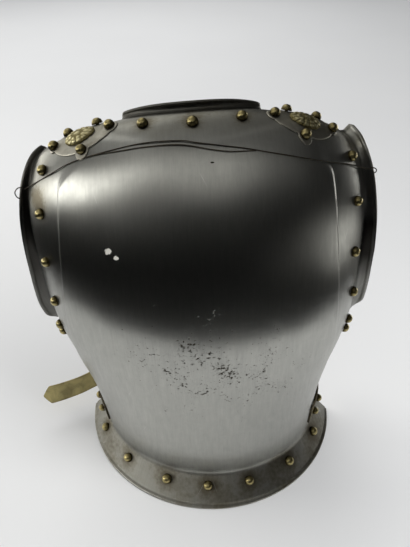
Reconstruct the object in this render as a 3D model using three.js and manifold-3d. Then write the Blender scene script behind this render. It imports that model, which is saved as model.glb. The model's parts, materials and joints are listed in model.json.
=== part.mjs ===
// Back plate of a heavy cavalry cuirass: one forged steel sheet with flanged edges, brass rivets,
// scalloped shoulder patches with brass rosettes, a leather waist belt and an iron hanging wire.
// Millimetres, +Z up. The convex back faces -Y, the wearer's left is at -X.

import * as THREE from 'three';
import { mergeVertices } from 'three/addons/utils/BufferGeometryUtils.js';
import Module from 'manifold-3d';

const wasm = await Module();
wasm.setup();

// ---- driving dimensions ----

const SHEET = 2;                 // thickness of the steel
const GAP = 0.3;                 // clearance between separate pieces

// Ribs of the outer face, from the waist fold (v = 0) to the front of the shoulders (v = 1).
// Each rib is an arc from the middle of the back to the point where the side faces outwards.
const RIBS = [
  { v: 0.00, backZ: 31, backDepth: 131, halfWidth: 136, sideY: 2, sideZ: 31, power: 2.00 },
  { v: 0.18, backZ: 125, backDepth: 141, halfWidth: 151, sideY: 6, sideZ: 104, power: 2.00 },
  { v: 0.36, backZ: 219, backDepth: 143, halfWidth: 174, sideY: 5, sideZ: 175, power: 2.10 },
  { v: 0.52, backZ: 305, backDepth: 123, halfWidth: 182, sideY: 5, sideZ: 239, power: 2.20 },
  { v: 0.67, backZ: 379, backDepth: 85, halfWidth: 188, sideY: 8, sideZ: 290, power: 2.25 },
  { v: 0.80, backZ: 422, backDepth: 48, halfWidth: 186, sideY: 13, sideZ: 322, power: 2.20 },
  { v: 0.91, backZ: 434, backDepth: 22, halfWidth: 181, sideY: 22, sideZ: 341, power: 2.15 },
  { v: 1.00, backZ: 427, backDepth: 6, halfWidth: 177, sideY: 30, sideZ: 353, power: 2.05 },
];

// Angle round the rib at which the sheet ends: the side seam low down, the armhole above.
const SIDE_EDGE = [
  { v: 0.00, angle: 88 },
  { v: 0.18, angle: 86 },
  { v: 0.28, angle: 82 },
  { v: 0.38, angle: 77 },
  { v: 0.50, angle: 73.5 },
  { v: 0.64, angle: 70 },
  { v: 0.78, angle: 68 },
  { v: 0.90, angle: 65 },
  { v: 1.00, angle: 63 },
];

// The plate was hammered by hand and has settled out of true over the years.
const LEAN = 18;                 // the top has moved towards -X by this much
const SAG = 0.055;               // the left shoulder hangs lower, the right one stands higher
const TWIST = 4;                 // degrees that the top is turned about the upright
const TWIST_AXIS_Y = -60;
const LEAN_HEIGHT = 400;

// Neck opening, an arc cut into the top between the shoulders.
const NECK_V = 0.905;
const NECK_HALF_WIDTH = 75;
const NECK_DEPTH = 44.6;         // measured along the sheet
const SHEET_LENGTH = 470;        // of the middle of the back, from waist to shoulder front

// Raised field inside a border band.
const BORDER = 56;
const FIELD_RISE = 1.4;
const ARM_RAMP = 3;
const NECK_RAMP = 14;

// Turned-out flanges: how wide, how far turned, radius of the rolled bead on their rims.
const ARM_FLANGE = [
  { v: 0.40, left: 16.5, right: 14 },
  { v: 0.55, left: 13.5, right: 15.5 },
  { v: 0.70, left: 8, right: 11 },
  { v: 0.85, left: 5, right: 10.5 },
  { v: 1.00, left: 3, right: 13.5 },
];
const ARM_FLANGE_START = { left: 0.312, right: 0.35 };
const ARM_FLANGE_RUN = { width: 0.12, turn: 0.06 };   // length of its rounded lower end, in v
const ARM_FLANGE_TURN = 80;
const ARM_BEAD = 2.4;
const NECK_FLANGE_HEIGHT = 8;
const NECK_FLANGE_TURN = 75;
const NECK_BEAD = 1.9;
const NECK_FLANGE_FADE = { from: 1.25, over: 0.32 };   // in radians round the neck's arc
const LIP = 2;                   // where there is no flange the sheet runs on by this much
const PLAIN_RIM = 1.05;
const BEAD_STEPS = 4;

// Waist skirt, flared out below the fold and standing on its rolled edge.
const SKIRT = { halfWidth: 156, sideY: 11, depth: 158, power: 2.0, edgeZ: 2.5 };
const SKIRT_BEAD = 2.2;
const FOOT_TRIM = 0.9;           // the bead is worn flat by this much where it stands
const TRIM_BLOCK = { width: 600, height: 40 };
const SKIRT_HOLE = { angle: 83, down: 0.5, halfWidth: 1.4, halfLength: 3.4 };

// How finely the sheet is faceted.
const FIELD_COLUMNS = 7;
const BORDER_COLUMNS = 3;
const BACK_ROWS = 15;
const NECK_ROWS = 6;
const SKIRT_ROWS = [1, 0.5, 0.12];

// Domed brass rivet.
const RIVET = {
  radius: 5.4,
  height: 5.2,
  shoulder: { radius: 3.56, height: 4.16 },
  shank: 1.8,
  tailRadius: 3.6,
  tailThickness: 1.4,
  tailGap: 1.2,
  sides: 6,
};
const HOLE_SIDES = 6;
const HOLE_LENGTH = 12;          // of the drill, more than any pile of sheets
const HOLE_RADIUS = (RIVET.shank + GAP) / Math.cos(Math.PI / HOLE_SIDES);
const NECK_RIVETS = [
  { v: 0.853, angle: -13.5 },
  { v: 0.836, angle: 0 },
  { v: 0.853, angle: 13.5 },
];
const ARM_RIVETS = [
  { v: 0.792, left: 54.6, right: 58.6 },
  { v: 0.666, left: 57, right: 60.4 },
  { v: 0.549, left: 60.4, right: 62.6 },
  { v: 0.447, left: 61.4, right: 68 },
  { v: 0.364, left: 68, right: 71.2 },
  { v: 0.333, left: 71.6, right: 72 },
];
const SKIRT_RIVET_ANGLES = [-66.3, -42.9, -19.8, 0, 19.8, 42.9, 66.3];
const SKIRT_RIVET_DOWN = 0.42;

// Scalloped shoulder patch: a lobe round each rivet, joined by an oval under the rosette.
const PATCH = {
  v: 0.868,
  angle: 36,
  thickness: 1.2,
  lift: 1.6,
  lobe: 7.6,
  ovalA: 27,
  ovalB: 12,
  rings: 2,
  segments: 28,
  crowding: 1.9,                 // the segments stand closer together at the ends of the oval
};
const PATCH_RIVETS = [
  { across: 34.5, up: 1 },       // outer
  { across: -6, up: -15.5 },     // near
  { across: 18, up: 14 },        // far outer
  { across: -15, up: 16 },       // far inner
  { across: -31, up: 2 },        // inner
];

// Embossed rosette: a low dome with a ring of petals round a boss; radii are shares of its outline.
const ROSETTE = {
  lift: 0.9,
  halfA: 17,
  halfB: 9,
  rim: 1,
  dome: 3.9,
  domePower: 2.4,
  petals: 8,
  petalHeight: 1.6,
  petalRing: 0.68,
  petalSpread: 0.2,
  bossHeight: 1.95,
  bossRadius: 0.3,
  pinReach: 2,                   // of the fixing pin above the rosette's foot
  rings: 4,
  segments: 24,
};

// Leather belt: a tongue at the left, a strap with a buckle at the right.
const BELT = { width: 24, thickness: 2.6, v: 0.042, lift: 1.2 };
const TONGUE_STATIONS = 10;      // along the free stretch
const STRAP_STATIONS = 15;
const BELT_ON_PLATE = [64, 70, 76, 82, 88];
const BELT_RIVET_ANGLES = [69, 79];
const TONGUE_ROUTE = [           // past the side seam the tongue springs out and back
  { x: -146, y: 12, z: 46 },
  { x: -152, y: 16, z: 42.5 },
  { x: -162, y: 13, z: 38 },
  { x: -176, y: 6, z: 34.5 },
  { x: -191, y: -1, z: 32.5 },
  { x: -205, y: -8, z: 31.5 },
  { x: -218.2, y: -14, z: 31.5 },
];
const TONGUE_ROLL = 0.6;         // tangent of the angle by which its end leans back
const TONGUE_TIP_WIDTH = 2;
const STRAP_ROUTE = [            // forward from the side seam, round the buckle's bar and back
  { x: 140.8, y: 10, z: 48 },
  { x: 140.6, y: 20.8, z: 48 },
  { x: 139.5, y: 23.7, z: 48 },
  { x: 136.6, y: 24.9, z: 48 },
  { x: 133.7, y: 23.7, z: 48 },
  { x: 132.6, y: 20.8, z: 48 },
  { x: 132.8, y: 10, z: 48 },
];
const BUCKLE = {
  x: 136.6,
  barY: 20.8,
  z: 48,
  length: 27,
  halfWidth: 18.5,
  bar: 3.2,
  outerCorner: 4,
  innerCorner: 1.5,
  cornerSegments: 2,
  prong: 1.5,                    // radius of the tongue that crosses the frame
  prongSides: 6,
  prongSink: 0.4,                // into the bar that it hangs on
};
const PRONG_SEAT = 0.6;          // share of the prong's radius that stands clear of the far bar
const PRONG_SLOT = { x: 12, y: 7, z: 4.4, ahead: 2, beyond: 2.5 };

// Iron hanging wire, laid over the back below the patches and hooked over both armhole flanges.
const WIRE = {
  radius: 0.8,
  sides: 5,
  stepsPerPoint: 2,
  lift: 2.2,
  hook: 0.752,                   // where it passes over the flanges
  clearance: 0.6,
  cornering: 1.2,                // how much it rounds the rim's corners
};
const WIRE_UPPER = [
  { v: 0.757, angle: -50 },
  { v: 0.765, angle: -39.6 },
  { v: 0.766, angle: -28.6 },
  { v: 0.778, angle: -14 },
  { v: 0.782, angle: -3.4 },
  { v: 0.770, angle: 0.8 },
  { v: 0.758, angle: 7 },
  { v: 0.751, angle: 13 },
  { v: 0.744, angle: 19 },
  { v: 0.738, angle: 27.6 },
  { v: 0.736, angle: 36 },
  { v: 0.742, angle: 45 },
  { v: 0.750, angle: 54.6 },
];
const WIRE_LOWER = [
  { v: 0.756, angle: -26 },
  { v: 0.768, angle: -14 },
  { v: 0.766, angle: -3 },
  { v: 0.746, angle: 5 },
  { v: 0.742, angle: 10.2 },
  { v: 0.735, angle: 16 },
];

// ---- finishes ----

const steel = () => new THREE.MeshStandardMaterial({ color: 0x8d8d8b, roughness: 0.28, metalness: 1 });
const darkSteel = () => new THREE.MeshStandardMaterial({ color: 0x5a564e, roughness: 0.5, metalness: 1 });
const brass = () => new THREE.MeshStandardMaterial({ color: 0x8c7a4e, roughness: 0.38, metalness: 1 });
const leather = () => new THREE.MeshStandardMaterial({ color: 0x8f8560, roughness: 0.85, metalness: 0 });
const iron = () => new THREE.MeshStandardMaterial({ color: 0x3a3632, roughness: 0.6, metalness: 1 });

// ---- small helpers ----

const radians = THREE.MathUtils.degToRad;
const clamp01 = (x) => Math.min(1, Math.max(0, x));
const smooth = (x) => clamp01(x) ** 2 * (3 - 2 * clamp01(x));
const signedPower = (x, p) => Math.sign(x) * Math.abs(x) ** p;
const sideName = (side) => (side < 0 ? 'left' : 'right');

// Natural cubic spline through a column of a table.
function column(table, name) {
  const x = table.map((row) => row.v);
  const y = table.map((row) => row[name]);
  const bend = splineBends(x, y);
  return (v) => {
    let k = 0;
    while (k < x.length - 2 && v > x[k + 1]) k += 1;
    const h = x[k + 1] - x[k];
    const a = x[k + 1] - v;
    const b = v - x[k];
    const curve = (bend[k] * a ** 3 + bend[k + 1] * b ** 3) / (6 * h);
    return curve + (y[k] / h - bend[k] * h / 6) * a + (y[k + 1] / h - bend[k + 1] * h / 6) * b;
  };
}

// Second derivatives of the spline at its knots, by elimination of the tridiagonal system.
function splineBends(x, y) {
  const n = x.length;
  const upper = new Array(n).fill(0);
  const bend = new Array(n).fill(0);
  for (let i = 1; i < n - 1; i += 1) {
    const before = x[i] - x[i - 1];
    const after = x[i + 1] - x[i];
    const load = 6 * ((y[i + 1] - y[i]) / after - (y[i] - y[i - 1]) / before);
    const pivot = 2 * (before + after) - before * upper[i - 1];
    upper[i] = after / pivot;
    bend[i] = (load - before * bend[i - 1]) / pivot;
  }
  for (let i = n - 2; i > 0; i -= 1) bend[i] -= upper[i] * bend[i + 1];
  return bend;
}

// Straight-line table lookup, used for widths.
function between(table, name, v) {
  let k = 0;
  while (k < table.length - 2 && v > table[k + 1].v) k += 1;
  const t = clamp01((v - table[k].v) / (table[k + 1].v - table[k].v));
  return THREE.MathUtils.lerp(table[k][name], table[k + 1][name], t);
}

// ---- outer face of the plate ----

const rib = {
  backZ: column(RIBS, 'backZ'),
  backDepth: column(RIBS, 'backDepth'),
  halfWidth: column(RIBS, 'halfWidth'),
  sideY: column(RIBS, 'sideY'),
  sideZ: column(RIBS, 'sideZ'),
  power: column(RIBS, 'power'),
};
const sideEdge = column(SIDE_EDGE, 'angle');

// A point of the true, symmetrical form; angles in degrees.
function formPoint(v, angle) {
  const exponent = 2 / rib.power(v);
  const across = signedPower(Math.sin(radians(angle)), exponent);
  const round = 1 - signedPower(Math.cos(radians(angle)), exponent);
  const backY = -rib.backDepth(v);
  return new THREE.Vector3(
    rib.halfWidth(v) * across,
    backY + (rib.sideY(v) - backY) * round,
    rib.backZ(v) + (rib.sideZ(v) - rib.backZ(v)) * round,
  );
}

// Moves a point of the true form to where the settled plate has it.
function settle(p) {
  const h = p.z / LEAN_HEIGHT;
  const turn = radians(TWIST) * h;
  const y = p.y - TWIST_AXIS_Y;
  return new THREE.Vector3(
    p.x * Math.cos(turn) - y * Math.sin(turn) - LEAN * h,
    p.x * Math.sin(turn) + y * Math.cos(turn) + TWIST_AXIS_Y,
    p.z + SAG * p.x * h * h,
  );
}

function neckAngle(v) {
  const down = clamp01((1 - v) / (1 - NECK_V));
  const x = NECK_HALF_WIDTH * Math.sqrt(1 - down * down);
  return THREE.MathUtils.radToDeg(Math.asin((x / rib.halfWidth(v)) ** (rib.power(v) / 2)));
}

// Rise of the field above the border band.
function fieldRise(v, angle) {
  const p = formPoint(v, angle);
  const armGap = p.distanceTo(formPoint(v, Math.sign(angle || 1) * sideEdge(v)));
  const along = (1 - v) * SHEET_LENGTH;
  const neckRatio = Math.hypot(p.x / NECK_HALF_WIDTH, along / NECK_DEPTH);
  const neckGap = Math.hypot(p.x, along) * (1 - 1 / Math.max(neckRatio, 1));
  return FIELD_RISE * smooth((armGap - BORDER) / ARM_RAMP) * smooth((neckGap - BORDER) / NECK_RAMP);
}

const plainFace = (v, angle) => settle(formPoint(v, angle));

// Point, outward normal, and unit directions across (towards the side) and up the plate.
function frameAt(v, angle) {
  const step = 1e-3;
  const side = angle < 0 ? -1 : 1;
  const v1 = Math.min(v + step, 1);
  const v0 = Math.max(v - step, 0);
  const across = plainFace(v, angle + side * 0.1).sub(plainFace(v, angle - side * 0.1));
  const up = plainFace(v1, angle).sub(plainFace(v0, angle));
  const acrossPerDegree = across.length() / 0.2;
  const upPerV = up.length() / (v1 - v0);
  const normal = new THREE.Vector3().crossVectors(across, up).multiplyScalar(side).normalize();
  const point = plainFace(v, angle).addScaledVector(normal, fieldRise(v, angle));
  return { point, normal, across: across.normalize(), up: up.normalize(), acrossPerDegree, upPerV };
}

// ---- skirt below the waist fold; down = 0 at the fold, 1 at the standing edge ----

function skirtPoint(down, angle) {
  const exponent = 2 / SKIRT.power;
  const edge = new THREE.Vector3(
    SKIRT.halfWidth * signedPower(Math.sin(radians(angle)), exponent),
    SKIRT.sideY - (SKIRT.depth + SKIRT.sideY) * signedPower(Math.cos(radians(angle)), exponent),
    SKIRT.edgeZ,
  );
  return settle(formPoint(0, angle).lerp(edge, down));
}

function skirtFrame(down, angle) {
  const across = skirtPoint(down, angle + 0.1).sub(skirtPoint(down, angle - 0.1)).normalize();
  const up = skirtPoint(down - 0.05, angle).sub(skirtPoint(down + 0.05, angle)).normalize();
  const normal = new THREE.Vector3().crossVectors(across, up).normalize();
  return { point: skirtPoint(down, angle), normal, across, up };
}

// ---- the sheet as rows and columns of points ----

// Rows from the standing edge up to the shoulder front; the last ones pass beside the neck.
function sheetRows() {
  const rows = SKIRT_ROWS.map((down) => ({ down }));
  for (let j = 0; j < BACK_ROWS; j += 1) rows.push({ v: NECK_V * j / BACK_ROWS });
  for (let j = 0; j <= NECK_ROWS; j += 1) {
    const turn = Math.PI / 2 * j / NECK_ROWS;
    rows.push({ v: 1 - (1 - NECK_V) * Math.cos(turn), neckTurn: turn });
  }
  return rows;
}

// Angle on a rib at which the border band begins, found by halving.
function borderAngle(v, width) {
  const edge = formPoint(v, sideEdge(v));
  let low = 0;
  let high = sideEdge(v);
  for (let i = 0; i < 24; i += 1) {
    const middle = (low + high) / 2;
    if (formPoint(v, middle).distanceTo(edge) > width) low = middle;
    else high = middle;
  }
  return low;
}

function columnAngles(row) {
  const v = row.v ?? 0;
  const start = row.neckTurn === undefined ? 0 : neckAngle(v);
  const field = borderAngle(v, BORDER + ARM_RAMP);
  const border = borderAngle(v, BORDER);
  const angles = [];
  for (let i = 0; i <= FIELD_COLUMNS; i += 1) angles.push(start + (field - start) * i / FIELD_COLUMNS);
  for (let i = 0; i <= BORDER_COLUMNS; i += 1) {
    angles.push(border + (sideEdge(v) - border) * i / BORDER_COLUMNS);
  }
  return angles;
}

function rowPoint(row, angle) {
  return row.v === undefined ? skirtPoint(row.down, angle) : frameAt(row.v, angle).point;
}

// How far a flange runs out from its root, and how much it is turned, at one place.
function armFlange(row, side) {
  if (row.v === undefined) return { width: LIP, turn: 0, bead: PLAIN_RIM };
  const start = ARM_FLANGE_START[sideName(side)];
  const run = THREE.MathUtils.clamp((row.v - start) / ARM_FLANGE_RUN.width, 0, 1);
  const full = smooth((row.v - start) / ARM_FLANGE_RUN.turn);
  const width = between(ARM_FLANGE, sideName(side), row.v);
  return {
    width: LIP + (width - LIP) * Math.sqrt(1 - (1 - run) ** 2),
    turn: radians(ARM_FLANGE_TURN) * full,
    bead: PLAIN_RIM + (ARM_BEAD - PLAIN_RIM) * full,
  };
}

function neckFlange(row) {
  const full = 1 - smooth((row.neckTurn - NECK_FLANGE_FADE.from) / NECK_FLANGE_FADE.over);
  return {
    width: LIP + (NECK_FLANGE_HEIGHT - LIP) * full,
    turn: radians(NECK_FLANGE_TURN) * full,
    bead: PLAIN_RIM + (NECK_BEAD - PLAIN_RIM) * full,
  };
}

// Two points of a flange: bent half way, then fully.
function flangePoints(root, outwards, normal, flange) {
  const lean = (turn) => {
    const level = outwards.clone().multiplyScalar(Math.cos(turn));
    return level.addScaledVector(normal, Math.sin(turn));
  };
  const middle = root.clone().addScaledVector(lean(flange.turn / 2), flange.width / 2);
  const rim = middle.clone().addScaledVector(lean(flange.turn), flange.width / 2);
  return [middle, rim];
}

// Direction in the sheet at right angles to an edge, pointing off the sheet.
function offEdge(along, normal, towards) {
  const off = new THREE.Vector3().crossVectors(along, normal).normalize();
  return off.dot(towards) < 0 ? off.negate() : off;
}

// Root, outward direction and normal of the armhole edge at a row.
function armEdgeFrame(row, side) {
  if (row.v === undefined) {
    const { point, normal, across } = skirtFrame(row.down, side * sideEdge(0));
    return { point, normal, off: across.multiplyScalar(side) };
  }
  const { point, normal, across } = frameAt(row.v, side * sideEdge(row.v));
  const v1 = Math.min(row.v + 0.002, 1);
  const v0 = Math.max(row.v - 0.002, 0);
  const along = plainFace(v1, side * sideEdge(v1)).sub(plainFace(v0, side * sideEdge(v0)));
  return { point, normal, off: offEdge(along, normal, across) };
}

function neckEdgeFrame(row, side) {
  const at = (turn) => {
    const v = 1 - (1 - NECK_V) * Math.cos(turn);
    return plainFace(v, side * neckAngle(v));
  };
  const { point, normal } = frameAt(row.v, side * neckAngle(row.v));
  const along = at(Math.min(row.neckTurn + 0.03, Math.PI / 2)).sub(at(Math.max(row.neckTurn - 0.03, 0)));
  const towards = plainFace(1, 0).sub(point);
  if (row.neckTurn === 0) along.copy(at(0.05)).sub(at(0));
  return { point, normal, off: offEdge(along, normal, towards) };
}

// Outer face as a list of points with their rim radii, and squares between them.
function sheetFace() {
  const rows = sheetRows();
  const neckRow = rows.findIndex((row) => row.neckTurn === 0);
  const points = [];
  const rims = [];
  const index = new Map();
  const add = (key, point, rim) => {
    if (index.has(key)) return;
    index.set(key, points.length);
    points.push(point);
    rims.push(rim);
  };
  const lastColumn = FIELD_COLUMNS + BORDER_COLUMNS + 1;
  const keyOf = (side, j, i) => {
    const shared = i === 0 ? j <= neckRow : i < 0 && j === neckRow;
    return `${shared ? 0 : side} ${j} ${i}`;
  };
  for (const side of [-1, 1]) {
    rows.forEach((row, j) => {
      const foot = j === 0 ? SKIRT_BEAD : PLAIN_RIM;
      columnAngles(row).forEach((angle, i) => {
        add(keyOf(side, j, i), rowPoint(row, side * angle), foot);
      });
      const flange = armFlange(row, side);
      const edge = armEdgeFrame(row, side);
      const arm = flangePoints(edge.point, edge.off, edge.normal, flange);
      arm.forEach((point, i) => add(keyOf(side, j, lastColumn + 1 + i), point, flange.bead));
      if (j >= neckRow) {
        const neck = neckFlange(row);
        const root = neckEdgeFrame(row, side);
        const collar = flangePoints(root.point, root.off, root.normal, neck);
        collar.forEach((point, i) => add(keyOf(side, j, -1 - i), point, neck.bead));
      }
    });
  }
  const faces = [];
  for (const side of [-1, 1]) {
    for (let j = 0; j < rows.length - 1; j += 1) {
      const first = j >= neckRow ? -2 : 0;
      for (let i = first; i < lastColumn + 2; i += 1) {
        const corners = [[j, i], [j, i + 1], [j + 1, i + 1], [j + 1, i]];
        const square = corners.map(([row, col]) => index.get(keyOf(side, row, col)));
        if (side < 0) square.reverse();
        faces.push([square[0], square[1], square[2]]);
        faces.push([square[0], square[2], square[3]]);
      }
    }
  }
  return { points, rims, faces: faces.filter(([a, b, c]) => a !== b && b !== c && c !== a) };
}

// ---- closed bodies from sheets ----

function vertexNormals(points, faces) {
  const normals = points.map(() => new THREE.Vector3());
  for (const [a, b, c] of faces) {
    const n = new THREE.Vector3().crossVectors(
      points[b].clone().sub(points[a]),
      points[c].clone().sub(points[a]),
    );
    for (const k of [a, b, c]) normals[k].add(n);
  }
  return normals.map((n) => n.normalize());
}

// The edge of a sheet as one closed walk of point numbers, in the direction of its faces.
function outline(faces) {
  const once = new Map();
  for (const [a, b, c] of faces) {
    for (const [p, q] of [[a, b], [b, c], [c, a]]) {
      if (once.get(`${q} ${p}`)) once.delete(`${q} ${p}`);
      else once.set(`${p} ${q}`, [p, q]);
    }
  }
  const next = new Map([...once.values()]);
  const start = next.keys().next().value;
  const walk = [start];
  while (next.get(walk[walk.length - 1]) !== start) walk.push(next.get(walk[walk.length - 1]));
  return walk;
}

// Gives a face its thickness and closes the rim with a rounded bead of the radius at each point.
function thicken({ points, rims, faces }, thickness, beadSteps) {
  const normals = vertexNormals(points, faces);
  const count = points.length;
  const all = points.concat(points.map((p, i) => p.clone().addScaledVector(normals[i], -thickness)));
  const out = faces.concat(faces.map(([a, b, c]) => [a + count, c + count, b + count]));
  const walk = outline(faces);
  const rings = walk.map((k, n) => {
    const before = points[walk[(n + walk.length - 1) % walk.length]];
    const after = points[walk[(n + 1) % walk.length]];
    const off = after.clone().sub(before).cross(normals[k]).normalize();
    const half = thickness / 2;
    const reach = Math.sqrt(rims[k] ** 2 - half ** 2);
    const centre = points[k].clone().addScaledVector(normals[k], -half).addScaledVector(off, reach);
    const sweep = Math.PI - Math.asin(half / rims[k]);
    const ring = [k];
    for (let s = 1; s <= beadSteps; s += 1) {
      const turn = sweep * (1 - 2 * s / (beadSteps + 1));
      const point = centre.clone().addScaledVector(off, rims[k] * Math.cos(turn));
      all.push(point.addScaledVector(normals[k], rims[k] * Math.sin(turn)));
      ring.push(all.length - 1);
    }
    ring.push(k + count);
    return ring;
  });
  rings.forEach((ring, n) => {
    const other = rings[(n + 1) % rings.length];
    for (let s = 0; s < ring.length - 1; s += 1) {
      out.push([other[s], ring[s], ring[s + 1]]);
      out.push([other[s], ring[s + 1], other[s + 1]]);
    }
  });
  return bodyFrom(all, out);
}

function bodyFrom(points, faces) {
  const geometry = new THREE.BufferGeometry();
  geometry.setAttribute('position', new THREE.Float32BufferAttribute(points.flatMap((p) => p.toArray()), 3));
  geometry.setIndex(faces.flat());
  return geometry;
}

// ---- joining and cutting ----

function toManifold(geometry) {
  const bare = geometry.clone();
  bare.deleteAttribute('normal');
  bare.deleteAttribute('uv');
  const merged = mergeVertices(bare, 1e-4);
  const vertProperties = new Float32Array(merged.attributes.position.array);
  const triVerts = new Uint32Array(merged.index.array);
  return new wasm.Manifold(new wasm.Mesh({ numProp: 3, vertProperties, triVerts }));
}

function fromManifold(solid) {
  const mesh = solid.getMesh();
  const geometry = new THREE.BufferGeometry();
  geometry.setAttribute('position', new THREE.BufferAttribute(new Float32Array(mesh.vertProperties), 3));
  geometry.setIndex(new THREE.BufferAttribute(new Uint32Array(mesh.triVerts), 1));
  return geometry;
}

function cut(geometry, tools) {
  let solid = toManifold(geometry);
  for (const tool of tools) solid = solid.subtract(toManifold(tool));
  return fromManifold(solid);
}

function join(first, second) {
  return fromManifold(toManifold(first).add(toManifold(second)));
}

// ---- rivets, pins and holes ----

// Turns a shape made about +Y to stand on a place of the sheet, with Y along the normal.
function seat(object, place, lift = 0) {
  object.position.copy(place.point).addScaledVector(place.normal, lift);
  object.quaternion.setFromUnitVectors(new THREE.Vector3(0, 1, 0), place.normal);
  return object;
}

function seated(geometry, place, lift = 0) {
  const holder = seat(new THREE.Object3D(), place, lift);
  holder.updateMatrix();
  return geometry.applyMatrix4(holder.matrix);
}

const profile = (rows) => rows.map(([radius, height]) => new THREE.Vector2(radius, height));

// Shank and hammered tail below the sheet; packing is what lies between head and sheet.
function tailProfile(packing) {
  const inner = -packing - SHEET - RIVET.tailGap;
  return [
    [0, inner - RIVET.tailThickness],
    [RIVET.tailRadius, inner - RIVET.tailThickness],
    [RIVET.shank, inner],
  ];
}

function rivetGeometry(packing) {
  const dome = [
    [RIVET.shank, GAP],
    [RIVET.radius, GAP],
    [RIVET.shoulder.radius, RIVET.shoulder.height],
    [0, RIVET.height],
  ];
  return new THREE.LatheGeometry(profile([...tailProfile(packing), ...dome]), RIVET.sides);
}

function holeTool(place, radius) {
  return seated(new THREE.CylinderGeometry(radius, radius, HOLE_LENGTH, HOLE_SIDES), place);
}

// ---- shoulder patches and rosettes ----

// Place on the sheet at a distance across and up from a patch's middle.
function patchPlace(side, across, up) {
  const middle = frameAt(PATCH.v, side * PATCH.angle);
  const v = PATCH.v + up / middle.upPerV;
  return frameAt(v, side * (PATCH.angle + across / middle.acrossPerDegree));
}

// Distance from a patch's middle to its scalloped outline.
function patchReach(turn) {
  const dx = Math.cos(turn);
  const dy = Math.sin(turn);
  let reach = 1 / Math.hypot(dx / PATCH.ovalA, dy / PATCH.ovalB);
  for (const { across, up } of PATCH_RIVETS) {
    const along = across * dx + up * dy;
    const aside = across * dy - up * dx;
    if (along > 0 && Math.abs(aside) < PATCH.lobe) {
      reach = Math.max(reach, along + Math.sqrt(PATCH.lobe ** 2 - aside ** 2));
    }
  }
  return reach;
}

// A round net of points and faces: a middle point and rings of the same number of points.
function ringNet(rings, segments, pointAt) {
  const points = [pointAt(0, 0)];
  const faces = [];
  for (let r = 1; r <= rings; r += 1) {
    for (let s = 0; s < segments; s += 1) points.push(pointAt(r / rings, 2 * Math.PI * s / segments));
  }
  const at = (r, s) => 1 + (r - 1) * segments + (s % segments);
  for (let s = 0; s < segments; s += 1) {
    faces.push([0, at(1, s), at(1, s + 1)]);
    for (let r = 1; r < rings; r += 1) {
      faces.push([at(r, s), at(r + 1, s), at(r + 1, s + 1)]);
      faces.push([at(r, s), at(r + 1, s + 1), at(r, s + 1)]);
    }
  }
  return { points, faces };
}

// Two nets with the same faces, one above the other, made into a closed body.
function closeBetween(upper, lower, side) {
  const count = upper.points.length;
  const walk = outline(upper.faces);
  const faces = upper.faces.concat(lower.faces.map(([a, b, c]) => [a + count, c + count, b + count]));
  walk.forEach((a, n) => {
    const b = walk[(n + 1) % walk.length];
    faces.push([b, a, a + count], [b, a + count, b + count]);
  });
  if (side < 0) faces.forEach((face) => face.reverse());
  return bodyFrom(upper.points.concat(lower.points), faces);
}

function patchGeometry(side) {
  const net = (lift) => ringNet(PATCH.rings, PATCH.segments, (reach, s) => {
    const turn = Math.atan2(Math.sin(s), PATCH.crowding * Math.cos(s));
    const far = reach * patchReach(turn);
    const place = patchPlace(side, far * Math.cos(turn), far * Math.sin(turn));
    return place.point.addScaledVector(place.normal, lift);
  });
  const holes = PATCH_RIVETS.map(({ across, up }) => patchPlace(side, across, up));
  holes.push(patchPlace(side, 0, 0));
  const blank = closeBetween(net(PATCH.lift + PATCH.thickness), net(PATCH.lift), side);
  return cut(blank, holes.map((place) => holeTool(place, HOLE_RADIUS)));
}

// Height of the embossed rosette above its foot: a ring of petals round a low boss.
function rosetteHeight(reach, turn) {
  const petals = (1 + Math.cos(ROSETTE.petals * turn)) / 2;
  const ring = Math.exp(-(((reach - ROSETTE.petalRing) / ROSETTE.petalSpread) ** 2));
  const boss = Math.exp(-((reach / ROSETTE.bossRadius) ** 2));
  const dome = ROSETTE.dome * (1 - reach ** ROSETTE.domePower);
  return ROSETTE.rim + dome + ROSETTE.petalHeight * ring * petals + ROSETTE.bossHeight * boss;
}

function rosetteGeometry(side) {
  const packing = PATCH.lift + PATCH.thickness;
  const foot = packing + ROSETTE.lift;
  const net = (height) => ringNet(ROSETTE.rings, ROSETTE.segments, (reach, turn) => {
    const across = reach * ROSETTE.halfA * Math.cos(turn);
    const up = reach * ROSETTE.halfB * Math.sin(turn);
    const place = patchPlace(side, across, up);
    return place.point.addScaledVector(place.normal, foot + height(reach, turn));
  });
  const body = closeBetween(net(rosetteHeight), net(() => 0), side);
  const top = packing + ROSETTE.pinReach;
  const pin = profile([...tailProfile(ROSETTE.lift), [RIVET.shank, top], [0, top]]);
  return join(body, seated(new THREE.LatheGeometry(pin, RIVET.sides), patchPlace(side, 0, 0)));
}

// ---- leather belt and buckle ----

// Stations of a strap: middle, direction of its width, outward direction of its thickness.
// The free stretch can roll on to its back by a growing angle.
function strapStations(side, route, count, endWidth, roll = 0) {
  const stations = BELT_ON_PLATE.map((angle) => {
    const { point, normal, up } = frameAt(BELT.v, side * angle);
    const middle = point.addScaledVector(normal, BELT.lift + BELT.thickness / 2);
    return { middle, wide: up, thick: normal };
  });
  const path = route.map(({ x, y, z }) => new THREE.Vector3(x, y, z));
  const curve = new THREE.CatmullRomCurve3([stations[stations.length - 1].middle, ...path]);
  for (let n = 1; n <= count; n += 1) {
    const ahead = curve.getTangent(n / count);
    const upright = new THREE.Vector3(0, roll * n / count, 1).normalize();
    const wide = upright.addScaledVector(ahead, -ahead.dot(upright)).normalize();
    const thick = new THREE.Vector3().crossVectors(ahead, wide).multiplyScalar(side);
    stations.push({ middle: curve.getPoint(n / count), wide, thick });
  }
  stations.forEach((station) => { station.width = BELT.width; });
  stations[stations.length - 1].width = endWidth;
  return stations;
}

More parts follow.
